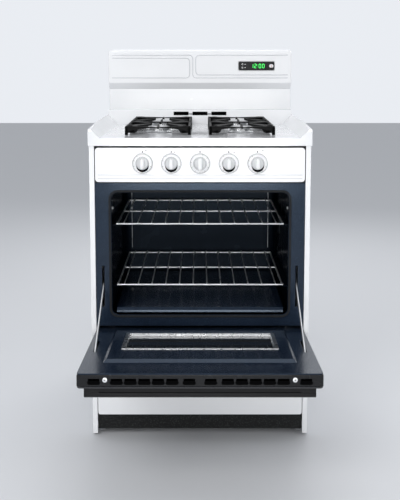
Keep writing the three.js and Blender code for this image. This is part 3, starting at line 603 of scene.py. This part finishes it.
def make_knob(name):
    node = "knob_" + name
    low, high = BOX[node]
    centre = middle(node)
    back = Vector((centre.x, high.y, centre.z))
    depth = high.y - low.y
    place = facing_front(back)
    dial = bmesh.new()
    profile = [
        (2 * MM, 1 * MM), (SKIRT - 2 * MM, 0.0), (SKIRT - 0.6 * MM, 0.4 * MM), (SKIRT, 1.4 * MM),
        (SKIRT, 3.2 * MM), (SKIRT - 0.5 * MM, 4.2 * MM), (SKIRT - 1.6 * MM, 4.8 * MM),
        (GRIP_RADIUS + 4 * MM, 5.2 * MM), (GRIP_RADIUS - 1 * MM, 5.4 * MM), (1 * MM, 5.4 * MM),
    ]
    add_turned(dial, profile, 56, place)
    new_piece("dial_" + name, mesh_of("dial_" + name, dial, 50.0), BODY_OF[node], "white_plastic", (node,))
    # the hub is painted a darker white than the dial: painted shade round the grip
    hub = bmesh.new()
    add_turned(hub, [
        (1 * MM, 5 * MM), (GRIP_RADIUS - 0.4 * MM, 5 * MM), (GRIP_RADIUS + 0.2 * MM, 5.8 * MM),
        (GRIP_RADIUS - 0.3 * MM, 9 * MM), (GRIP_RADIUS - 1.0 * MM, 11.4 * MM),
        (GRIP_RADIUS - 2.2 * MM, 12.6 * MM), (GRIP_RADIUS - 4 * MM, 12.9 * MM), (1 * MM, 11.8 * MM),
    ], 48, place)
    new_piece("hub_" + name, mesh_of("hub_" + name, hub, 50.0), BODY_OF[node], "hub_shaded_white")
    half = (6.2 if name == "oven" else 5.2) * MM
    long = (16.5 if name == "oven" else 13.5) * MM
    grip = bmesh.new()
    crest = back.y - depth
    rings = []
    for y, inset in ((back.y - 6 * MM, 0.0), (crest + 1.6 * MM, 0.2 * MM), (crest + 0.5 * MM, 0.9 * MM),
                     (crest, 2 * MM)):
        outline = bar_outline(centre.x, centre.z, half - inset, long - inset)
        rings.append([grip.verts.new((x, y, z)) for x, z in outline])
    add_skin(grip, rings)
    new_piece("grip_" + name, mesh_of("grip_" + name, grip, 40.0), BODY_OF[node], "white_plastic")
    marks = bmesh.new()
    face = back.y - 5.5 * MM
    x, z = centre.x, centre.z
    # the two grey circles are painted shade, outlining the rim of the skirt and the foot of the hub; the
    # ticks are print
    for ring in (SKIRT - 1.9 * MM, GRIP_RADIUS + 0.9 * MM):
        circle = arc_outline(x, z, ring, ring + 0.55 * MM, 0, 359, 48)
        add_plate(marks, circle, face - 0.1 * MM, face + 1.4 * MM)
    count = OVEN_TICKS if name == "oven" else BURNER_TICKS
    for i in range(count):
        angle = 90 + (i + 1) * BURNER_SWEEP / count
        if name == "oven":
            angle = 90 - (i + 0.6) * OVEN_SWEEP / count
        tick = tick_outline(x, z, angle, SKIRT - 5.2 * MM, SKIRT - 2.2 * MM, 0.45 * MM)
        add_plate(marks, tick, face + 0.35 * MM, face + 1.4 * MM)
    new_piece("dial_marks_and_rim_shade_" + name, mesh_of("dial_marks_and_rim_shade_" + name, marks), BODY_OF[node], "grey_print_and_shade")
    if name != "oven":
        # burner dials: a black crescent below the hub, widest straight down, is a painted shadow of the hub
        shade = bmesh.new()
        def swell(along):
            return GRIP_RADIUS + (0.6 + 5.6 * math.sin(math.pi * along)) * MM

        band = arc_outline(x, z, GRIP_RADIUS + 0.2 * MM, swell, -155, -15, 20)
        add_plate(shade, band, face - 0.9 * MM, face + 1.2 * MM)
        new_piece("dial_hub_shadow_" + name, mesh_of("dial_hub_shadow_" + name, shade), BODY_OF[node], "printed_black")


for knob_name in KNOBS:
    make_knob(knob_name)


def make_panel_marks():
    """Above each knob, a dot to turn to; for the burners, four small dots, their own one large."""
    face = BOX["control_panel"][0].y
    marks = bmesh.new()
    spots = {"front_left": (-1, -1), "front_right": (1, -1), "rear_left": (-1, 1), "rear_right": (1, 1)}
    for name in KNOBS:
        x, z = middle("knob_" + name).x, middle("knob_" + name).z
        add_plate(marks, disc_outline(x, z + 31 * MM, 1.9 * MM), face - 0.15 * MM, face + 0.3 * MM)
        if name == "oven":
            continue
        for spot, (across, up) in spots.items():
            radius = 1.5 * MM if spot == name else 0.7 * MM
            outline = disc_outline(x + 12 * MM + across * 2.6 * MM, z + 33 * MM + up * 2.6 * MM, radius)
            add_plate(marks, outline, face - 0.15 * MM, face + 0.3 * MM)
    new_piece("panel_marks", mesh_of("panel_marks", marks), "cabinet", "printed_black")


make_panel_marks()


# ---------------------------------------------------------------- backguard: pressed lines and clock
LINE_RADIUS = 1.5 * MM


def front_of(node, x, z):
    """How far back the front of a CAD node lies at (x, z)."""
    source = frame["nodes"][node]
    points = [source.matrix_world @ v.co for v in source.data.vertices]
    tree = BVHTree.FromPolygons(points, [p.vertices for p in source.data.polygons])
    hit = tree.ray_cast(Vector((x, -2.0, z)), Vector((0.0, 1.0, 0.0)))[0]
    return hit.y if hit else BOX[node][0].y


def bent_line(corners, radius):
    """(x, z) points along straight runs whose corners are rounded."""
    points = [Vector(corners[0])]
    for before, corner, after in zip(corners, corners[1:], corners[2:]):
        corner = Vector(corner)
        come = (Vector(before) - corner).normalized()
        leave = (Vector(after) - corner).normalized()
        for i in range(9):
            t = i / 8
            a, b = corner + come * radius * (1 - t), corner + leave * radius * t
            points.append(a * (1 - t) + b * t)
    points.append(Vector(corners[-1]))
    return points


def make_pressed_lines():
    low, high = BOX["backguard_fascia"]
    top, bottom = high.z - 17 * MM, low.z + 38 * MM
    left, right = low.x + 12 * MM, high.x - 12 * MM
    x = -24 * MM
    foot = bottom
    low = Vector((low.x, front_of("backguard_fascia", 0.0, bottom), low.z))
    lean_end = front_of("backguard_fascia", 0.0, top)
    lines = (
        [(left, top), (x, top), (x, bottom), (right, bottom)],
        [(left, top - 10 * MM), (x - 10 * MM, top - 10 * MM), (x - 10 * MM, bottom), (left, bottom)],
        [(right, top), (x + 10 * MM, top), (x + 10 * MM, bottom + 10 * MM), (right, bottom + 10 * MM)],
    )
    work = bmesh.new()
    for corners in lines:
        path = [(p.x, low.y + (lean_end - low.y) * max(0.0, (p.y - foot) / (top - foot)), p.y)
                for p in bent_line(corners, 14 * MM)]
        add_tube(work, path, LINE_RADIUS, 8)
    # the raised lines take a darker white than the fascia: painted shade along the pressed lines
    new_piece("pressed_lines", mesh_of("pressed_lines", work, 60.0), "cabinet", "crease_shade_white")


# which bars of a seven-bar digit are lit: top, upper right, lower right, bottom, lower left, upper left,
# middle
SEGMENTS = {"0": "1111110", "1": "0110000", "2": "1101101"}


def add_digit(work, x, z, height, glyph, front):
    half, bar = height / 4.0, height * 0.07
    ends = (
        ((-half, height / 2), (half, height / 2)), ((half, height / 2), (half, 0)),
        ((half, 0), (half, -height / 2)), ((half, -height / 2), (-half, -height / 2)),
        ((-half, -height / 2), (-half, 0)),
        ((-half, 0), (-half, height / 2)), ((-half, 0), (half, 0)),
    )
    for lit, (a, b) in zip(SEGMENTS[glyph], ends):
        if lit == "0":
            continue
        a, b = Vector(a), Vector(b)
        along = (b - a).normalized() * bar
        beside = Vector((-along.y, along.x))
        a, b = a + along * 1.2, b - along * 1.2
        corners = (a - beside, b - beside, b + along, b + beside, a + beside, a - along)
        add_plate(work, [(x + c.x, z + c.y) for c in corners], front, front + 0.4 * MM)


def make_clock():
    low, high = BOX["clock_module"]
    button = middle("clock_button")
    face = low.y - 0.1 * MM
    z = (low.z + high.z) / 2.0
    digits = bmesh.new()
    start = low.x + 44 * MM
    for i, glyph in enumerate("1200"):
        add_digit(digits, start + (i * 11 + (4 if i > 1 else 0)) * MM, z, 12.5 * MM, glyph, face)
    for up in (-2.6, 2.6):
        add_plate(digits, disc_outline(start + 18.4 * MM, z + up * MM, 0.8 * MM, 10), face, face + 0.4 * MM)
    new_piece("clock_digits", mesh_of("clock_digits", digits), "cabinet", "lit_green")
    icons = bmesh.new()
    for row in (-1, 1):
        x = low.x + 12 * MM
        level = z + row * 5.5 * MM
        add_plate(icons, arc_outline(x, level, 1.9 * MM, 2.7 * MM, 0, 340, 18), face, face + 0.4 * MM)
        add_plate(icons, tick_outline(x, level, 60, 0.0, 2.0 * MM, 0.3 * MM), face, face + 0.4 * MM)
        dash = tick_outline(x + 9 * MM, level, 0, -2.4 * MM, 2.4 * MM, 0.7 * MM)
        add_plate(icons, dash, face, face + 0.4 * MM)
    new_piece("clock_icons", mesh_of("clock_icons", icons), "cabinet", "printed_white")
    dots = bmesh.new()
    front = BOX["clock_button"][0].y - 0.1 * MM
    for up in (-2.4, 2.4):
        add_plate(dots, disc_outline(button.x, button.z + up * MM, 1.1 * MM, 12), front, front + 0.4 * MM)
    new_piece("clock_button_dots", mesh_of("clock_button_dots", dots), "clock_button", "printed_red")


def make_panel_creases():
    """The fold along the foot of the control panel, drawn as two raised lines in a darker white: painted
    shade in the fold.
    """
    low, high = BOX["control_panel"]
    work = bmesh.new()
    for up in (10 * MM, 19.5 * MM):
        y = front_of("control_panel", 0.0, low.z + up) + 0.7 * MM
        run = [(low.x + 9 * MM, y, low.z + up), (high.x - 9 * MM, y, low.z + up)]
        add_tube(work, run, 1.3 * MM, 10)
    new_piece("panel_creases", mesh_of("panel_creases", work, 60.0), "cabinet", "crease_shade_white")


make_pressed_lines()
make_clock()
make_panel_creases()


# ---------------------------------------------------------------- burners
PORTS = 28


def make_burner(name):
    head, cap = "burner_head_" + name, "burner_cap_" + name
    low, high = BOX[head]
    centre = middle(head)
    crest = high.z
    rim = (high.x - low.x) / 2.0
    skirt_top = crest - 6 * MM
    floor = crest - 11 * MM
    place = Matrix.Translation((centre.x, centre.y, 0.0))
    bowl = bmesh.new()
    add_turned(bowl, [
        (4 * MM, low.z), (18 * MM, low.z), (20 * MM, low.z + 2 * MM), (21.5 * MM, floor + 0.4 * MM),
        (rim - 1 * MM, floor + 0.4 * MM), (rim, floor + 1.2 * MM), (rim, floor + 2.4 * MM),
        (rim - 1.2 * MM, floor + 3.4 * MM), (rim - 6 * MM, skirt_top - 0.6 * MM), (rim - 9 * MM, skirt_top),
        (rim - 10 * MM, skirt_top + 1 * MM), (rim - 10.6 * MM, crest - 0.6 * MM), (rim - 11.6 * MM, crest),
        (4 * MM, crest),
    ], 64, place)
    bowl_mesh = mesh_of("burner_" + name, bowl, 45.0)
    new_piece("burner_" + name, bowl_mesh, BODY_OF[head], "burner_aluminium", (head,))
    # black blocks in the crown at each port: painted shade inside the port openings
    ports = bmesh.new()
    reach = rim - 10.4 * MM
    near = (reach - 1 * MM, -0.8 * MM, skirt_top + 1.2 * MM)
    far = (reach + 0.35 * MM, 0.8 * MM, crest - 0.8 * MM)
    for i in range(PORTS):
        turn = place @ Matrix.Rotation(2.0 * math.pi * i / PORTS, 4, "Z")
        add_box(ports, near, far, turn)
    port_shade_mesh = mesh_of("burner_port_shade_" + name, ports)
    new_piece("burner_port_shade_" + name, port_shade_mesh, BODY_OF[head], "printed_black")
    spark = bmesh.new()
    side = -1.0 if centre.x < 0 else 1.0
    peg = [(0.5 * MM, floor), (2.6 * MM, floor), (2.6 * MM, crest - 3 * MM), (1.6 * MM, crest - 1.5 * MM),
           (0.6 * MM, crest)]
    add_turned(spark, peg, 16, Matrix.Translation((centre.x - side * (rim - 4 * MM), centre.y, 0.0)))
    new_piece("igniter_" + name, mesh_of("igniter_" + name, spark), BODY_OF[head], "white_plastic")
    low, high = BOX[cap]
    radius = (high.x - low.x) / 2.0
    lid = bmesh.new()
    add_turned(lid, [
        (2 * MM, low.z), (radius - 1.5 * MM, low.z), (radius - 0.3 * MM, low.z + 0.6 * MM),
        (radius, low.z + 1.6 * MM), (radius - 0.2 * MM, high.z - 2.4 * MM),
        (radius - 1.2 * MM, high.z - 1.2 * MM), (radius - 3.2 * MM, high.z - 0.3 * MM),
        (radius - 7 * MM, high.z), (radius - 8 * MM, high.z - 0.5 * MM), (2 * MM, high.z - 0.7 * MM),
    ], 64, place)
    new_piece("cap_" + name, mesh_of("cap_" + name, lid, 45.0), BODY_OF[cap], "burner_aluminium", (cap,))


for corner in CORNERS:
    make_burner(corner)


# ---------------------------------------------------------------- oven racks
WIRE = 1.7 * MM
FRAME_WIRE = 2.7 * MM
RACK_WIRES = 12


def make_rack(node):
    low, high = BOX[node]
    z = low.z + FRAME_WIRE + 0.3 * MM
    front, back = low.y + 4 * MM, high.y - 4 * MM
    left, right = low.x + FRAME_WIRE, high.x - FRAME_WIRE
    work = bmesh.new()
    for y in (front, (front + back) / 2.0, back):
        add_tube(work, [(left, y, z), (right, y, z)], FRAME_WIRE, 12)
    for x in (left, right):
        add_tube(work, [(x, front - 0.5 * MM, z), (x, back + 0.5 * MM, z)], FRAME_WIRE, 12)
    top = z + FRAME_WIRE + WIRE - 0.6 * MM
    pitch = (right - left - 38 * MM) / (RACK_WIRES - 1)
    for i in range(RACK_WIRES):
        x = left + 19 * MM + i * pitch
        path = [(x, back + 1 * MM, top), (x, front, top)]
        for step in range(1, 7):
            a = math.radians(step * 14)
            path.append((x, front - 3.4 * MM * math.sin(a) * 0.9, top - 3.4 * MM * (1 - math.cos(a))))
        add_tube(work, path, WIRE, 8)
    new_piece(node + "_wires", mesh_of(node + "_wires", work, 60.0), BODY_OF[node], "rack_chrome", (node,))


make_rack("upper_rack")
make_rack("lower_rack")


# ---------------------------------------------------------------- oven cavity
LINER_RADIUS = 26 * MM
SHEET = 2 * MM


def wall_path(half, front, back, radius):
    """(x, y) points down the left wall, round the back and up the right wall."""
    points = [(-half, front)]
    for cx, start in ((-half + radius, 180), (half - radius, 90)):
        for i in range(9):
            a = math.radians(start - i * 90 / 8)
            points.append((cx + radius * math.cos(a), back - radius + radius * math.sin(a)))
    points.append((half, front))
    return points


def make_liner():
    low, high = BOX["oven_liner"]
    inner_half = high.x - SHEET
    bottom, top = low.z + SHEET, high.z - SHEET
    inner = wall_path(inner_half, low.y, high.y - SHEET, LINER_RADIUS)
    outer = wall_path(high.x, low.y, high.y, LINER_RADIUS + SHEET)
    work = bmesh.new()

    def ring(points, z):
        return [work.verts.new((x, y, z)) for x, y in points]

    inner_low, inner_high = ring(inner, bottom), ring(inner, top)
    outer_low, outer_high = ring(outer, low.z), ring(outer, high.z)
    last = len(inner) - 1
    for i in range(last):
        work.faces.new((inner_low[i], inner_low[i + 1], inner_high[i + 1], inner_high[i]))
        work.faces.new((outer_low[i + 1], outer_low[i], outer_high[i], outer_high[i + 1]))
    work.faces.new(list(reversed(inner_low)))
    work.faces.new(inner_high)
    work.faces.new(outer_low)
    work.faces.new(list(reversed(outer_high)))
    for i, (a, b) in enumerate(((inner_low, outer_low), (inner_high, outer_high))):
        work.faces.new((a[0], a[last], b[last], b[0]) if i == 0 else (a[last], a[0], b[0], b[last]))
    work.faces.new((inner_low[0], inner_high[0], outer_high[0], outer_low[0]))
    work.faces.new((inner_high[last], inner_low[last], outer_low[last], outer_high[last]))
    cavity = mesh_of("oven_cavity", work, 40.0)
    piece = new_piece("oven_cavity", cavity, "cabinet", "oven_enamel", ("oven_liner",))
    bpy.data.objects.remove(FINE.pop("oven_liner"))
    ribs = bmesh.new()
    for side in (-1.0, 1.0):
        for node in ("lower_rack", "upper_rack"):
            z = BOX[node][0].z - 2.4 * MM
            x = side * (inner_half - 1 * MM)
            run = [(x, low.y + 26 * MM, z + 9 * MM)]
            run += [(x, low.y + (30 + 4 * i) * MM, z + 6 * MM * (1 - i / 4)) for i in range(5)]
            run += [(x, high.y - 60 * MM, z), (x, high.y - 52 * MM, z + 5 * MM)]
            add_tube(ribs, run, 2.2 * MM, 10)
            for reach in (4.2, 8.4, 12.6):
                inward = x - side * reach * MM
                add_tube(ribs, [(inward, low.y + 40 * MM, z), (inward, high.y - 62 * MM, z)], 2.2 * MM, 8)
        for step in range(5):
            z = BOX["lower_rack"][0].z + (45 + 26 * step) * MM
            turn = Matrix.Translation((side * (inner_half + 0.5 * MM), low.y + 60 * MM, z))
            turn = turn @ Matrix.Rotation(math.radians(-90.0 * side), 4, "Y")
            button = [(0.4 * MM, 0.0), (6 * MM, 0.0), (5.4 * MM, 1.8 * MM), (3.6 * MM, 3 * MM),
                      (0.4 * MM, 3.4 * MM)]
            add_turned(ribs, button, 20, turn)
    new_piece("oven_wall_ribs", mesh_of("oven_wall_ribs", ribs, 50.0), "cabinet", "oven_enamel")


make_liner()


# ---------------------------------------------------------------- door details
DOOR_SCREW_REACH = 222 * MM  # from the middle of the door


def make_door_screws():
    """Two pan-head screws in the door's top edge, which faces forwards while the door is open."""
    work = bmesh.new()
    slots = bmesh.new()
    tilt = Matrix.Rotation(math.radians(-3.0), 4, "X")
    z = BOX["door_frame"][1].z - 12 * MM
    for side in (-1.0, 1.0):
        x = side * DOOR_SCREW_REACH
        centre = Vector((x, front_of("door_frame", x, z), z))
        place = Matrix.Translation(centre) @ tilt @ Matrix.Rotation(math.radians(90.0), 4, "X")
        pan = [(0.5 * MM, -2 * MM), (5.6 * MM, -2 * MM), (5.8 * MM, 0.15 * MM), (5.2 * MM, 0.6 * MM),
               (3.4 * MM, 0.85 * MM), (0.5 * MM, 0.95 * MM)]
        add_turned(work, pan, 28, place)
        # two black crossed bars on each head: painted shade in the screw's cross recess
        for turn in (0.0, 90.0):
            arm = place @ Matrix.Rotation(math.radians(turn + 20.0), 4, "Z")
            add_box(slots, (-2.6 * MM, -0.5 * MM, 0.4 * MM), (2.6 * MM, 0.5 * MM, 1.0 * MM), arm)
    new_piece("door_screws", mesh_of("door_screws", work, 50.0), "door", "stay_steel")
    new_piece("door_screw_slot_shade", mesh_of("door_screw_slot_shade", slots), "door", "printed_black")


make_door_screws()


# ---------------------------------------------------------------- small fittings
VENT_PITCH = 63 * MM
VENT_SIZE = (50 * MM, 12 * MM)
VENT_Z = 879.4 * MM
VENT_BACK = 537 * MM  # from the front lip of the cooktop to the painted shade plate


def make_vent_shadow():
    """A black plate behind the three vent slots under the backguard: painted shade inside the slots."""
    y = BOX["cooktop"][0].y + VENT_BACK
    work = bmesh.new()
    for step in (-1, 0, 1):
        x = step * VENT_PITCH
        half, tall = VENT_SIZE[0] / 2.0 - 0.3 * MM, VENT_SIZE[1] / 2.0 - 0.3 * MM
        outline = [(x - half, VENT_Z - tall), (x + half, VENT_Z - tall), (x + half, VENT_Z + tall),
                   (x - half, VENT_Z + tall)]
        add_plate(work, outline, y, y + 0.5 * MM)
    new_piece("vent_painted_shade", mesh_of("vent_painted_shade", work), "cabinet", "printed_black")


def make_wall_screws():
    """One pan-head screw in each side wall of the oven, just inside the mouth."""
    liner_low, liner_high = BOX["oven_liner"]
    work = bmesh.new()
    for side in (-1.0, 1.0):
        seat = Vector((side * (liner_high.x - SHEET + 0.4 * MM), liner_low.y + 82 * MM, 638 * MM))
        place = Matrix.Translation(seat) @ Matrix.Rotation(math.radians(-90.0 * side), 4, "Y")
        add_turned(work, [(0.4 * MM, 0.0), (4.6 * MM, 0.0), (4.4 * MM, 2.2 * MM), (3 * MM, 3.6 * MM),
                          (0.4 * MM, 4 * MM)], 20, place)
    new_piece("oven_wall_screws", mesh_of("oven_wall_screws", work, 50.0), "cabinet", "stay_steel")


def make_corner_highlights():
    """A bright chrome tube up each rear corner of the oven: a painted highlight where the rounded corner
    catches the light.
    """
    foot = BOX["lower_rack"][1].z + 4 * MM
    liner_high = BOX["oven_liner"][1]
    head = liner_high.z - 24 * MM
    work = bmesh.new()
    for side in (-1.0, 1.0):
        x = side * (liner_high.x - SHEET - LINER_RADIUS)
        y = liner_high.y - SHEET - 0.6 * MM
        add_tube(work, [(x, y, foot), (x, y, head)], 1.0 * MM, 8)
    new_piece("oven_corner_highlights", mesh_of("oven_corner_highlights", work, 60.0), "cabinet", "rack_chrome")


make_wall_screws()
make_corner_highlights()


# ---------------------------------------------------------------- grates
def add_rib(work, stations):
    """A tapering bar along the stations: each is (x, y, half width, bottom, top)."""
    first, last = Vector(stations[0][:2]), Vector(stations[-1][:2])
    along = (last - first).normalized()
    beside = Vector((-along.y, along.x))
    rings = []
    for x, y, half, bottom, top in stations:
        left, right = Vector((x, y)) - beside * half, Vector((x, y)) + beside * half
        crown_left, crown_right = left + beside * half * 0.45, right - beside * half * 0.45
        rim = top - (top - bottom) * 0.16
        rings.append([
            work.verts.new((left.x, left.y, bottom)), work.verts.new((right.x, right.y, bottom)),
            work.verts.new((right.x, right.y, rim)), work.verts.new((crown_right.x, crown_right.y, top)),
            work.verts.new((crown_left.x, crown_left.y, top)), work.verts.new((left.x, left.y, rim)),
        ])
    add_skin(work, rings)


def make_grate(node):
    """Four corner feet, two wings of tapering fingers, and thin arched bars at the front and the back."""
    low, high = BOX[node]
    centre = middle(node)
    wide, deep = (high.x - low.x) / 2.0, (high.y - low.y) / 2.0
    top, foot = high.z, low.z
    thin = 3.2 * MM
    work = bmesh.new()
    for side in (-1.0, 1.0):
        edge = centre.x + side * (wide - 4 * MM)
        rail = []
        for along, bottom in ((-1.0, foot), (-0.84, foot), (-0.7, top - 12 * MM), (0.7, top - 12 * MM),
                              (0.84, foot), (1.0, foot)):
            rail.append((edge, centre.y + along * deep, 4 * MM, bottom, top - 1.5 * MM))
        add_rib(work, rail)
        for turn in (-1.0, 1.0):
            finger = []
            shape = ((0.0, 13.0, 22.0), (0.1, 13.0, 20.0), (0.2, 12.0, 12.0), (0.6, 7.0, 9.0),
                     (1.0, 2.6, 6.0))
            for t, half, bottom in shape:
                x = centre.x + side * ((wide - 15 * MM) * (1 - t) + 24 * MM * t)
                y = centre.y + turn * ((deep - 16 * MM) * (1 - t) + 9 * MM * t)
                finger.append((x, y, half * MM, top - bottom * MM, top))
            add_rib(work, finger)
    for turn in (-1.0, 1.0):
        y = centre.y + turn * (deep - thin)
        arch = []
        for i in range(13):
            across = -1.0 + i / 6.0
            lift = (1.0 - across * across) ** 0.45
            bottom = foot + (top - 6.5 * MM - foot) * lift if abs(across) < 0.86 else foot
            crest = top - (1.0 + 2.6 * (1.0 - abs(across))) * MM
            arch.append((centre.x + across * (wide - 1 * MM), y, thin, bottom, crest))
        add_rib(work, arch)
        prong = []
        for t, bottom, crest in ((0.0, 8.5, 3.6), (0.3, 9.0, 1.0), (0.7, 8.0, 0.2), (1.0, 6.0, 0.0)):
            prong.append((centre.x, y - turn * t * 58 * MM, 2.6 * MM, top - bottom * MM, top - crest * MM))
        add_rib(work, prong)
    casting = mesh_of(node + "_casting", work, 35.0)
    new_piece(node + "_casting", casting, BODY_OF[node], "grate_iron", (node,))


for corner in CORNERS:
    make_grate("grate_" + corner)


# ---------------------------------------------------------------- oven floor lip and handle wall
def make_floor_lip():
    """The oven floor turns down at the front to meet the mouth of the oven."""
    low, high = BOX["oven_floor"]
    mouth = BOX["oven_front_frame"][0].z + 33 * MM
    work = bmesh.new()
    runs = ((low.y + 1 * MM, high.z), (low.y - 3 * MM, high.z - 0.6 * MM),
            (low.y - 5 * MM, high.z - 3 * MM), (low.y - 6 * MM, mouth))
    rings = []
    for x in (low.x + 1 * MM, high.x - 1 * MM):
        outer = [work.verts.new((x, y, z)) for y, z in runs]
        inner = [work.verts.new((x, y + 1.2 * MM, z - 1 * MM)) for y, z in reversed(runs)]
        rings.append(outer + inner)
    add_skin(work, rings)
    new_piece("oven_floor_lip", mesh_of("oven_floor_lip", work, 50.0), "cabinet", "dark_enamel")


def make_handle_wall():
    """The handle is a channel: its wall on the side away from the hinge closes the gap to the door."""
    low, high = BOX["door_handle"]
    work = bmesh.new()
    near = (low.x + 2 * MM, low.y + 3 * MM, low.z + 3 * MM)
    far = (high.x - 2 * MM, low.y + 5.5 * MM, high.z - 0.5 * MM)
    add_box(work, near, far)
    new_piece("handle_wall", mesh_of("handle_wall", work), "door", "black_plastic")


make_floor_lip()
make_handle_wall()
make_vent_shadow()


# ---------------------------------------------------------------- vent slots in the door's edge
DOOR_VENTS = (25.0, 65.0, 97.5, 130.0, 162.5, 195.0, 248.0)  # mm from the middle, each way
DOOR_VENT_HALF = 15.4 * MM
VENT_DROP = 18.5 * MM  # below the inner face of the open door
DOOR_VENT_RADIUS = 5.0 * MM


def make_vent_mouth_shade():
    """Round-ended black plates along the edge of the door that is uppermost when it is shut: painted shade
    in the vent slots.
    """
    centre = BOX["door_frame"][1].z - VENT_DROP
    between = 45 * MM
    upper = front_of("door_frame", between, centre + DOOR_VENT_RADIUS)
    lower = front_of("door_frame", between, centre - DOOR_VENT_RADIUS)
    lean = (upper - lower) / (2.0 * DOOR_VENT_RADIUS)
    work = bmesh.new()
    for side in (-1.0, 1.0):
        for step in DOOR_VENTS:
            flat = bar_outline(0.0, 0.0, DOOR_VENT_RADIUS, DOOR_VENT_HALF)
            rings = []
            for depth in (-0.12 * MM, 0.6 * MM):
                ring = []
                for up, along in flat:
                    y = (upper + lower) / 2.0 + lean * up + depth
                    ring.append(work.verts.new((side * step * MM + along, y, centre + up)))
                rings.append(ring)
            add_skin(work, rings)
    new_piece("vent_mouth_shade", mesh_of("vent_mouth_shade", work), "door", "printed_black")


make_vent_mouth_shade()
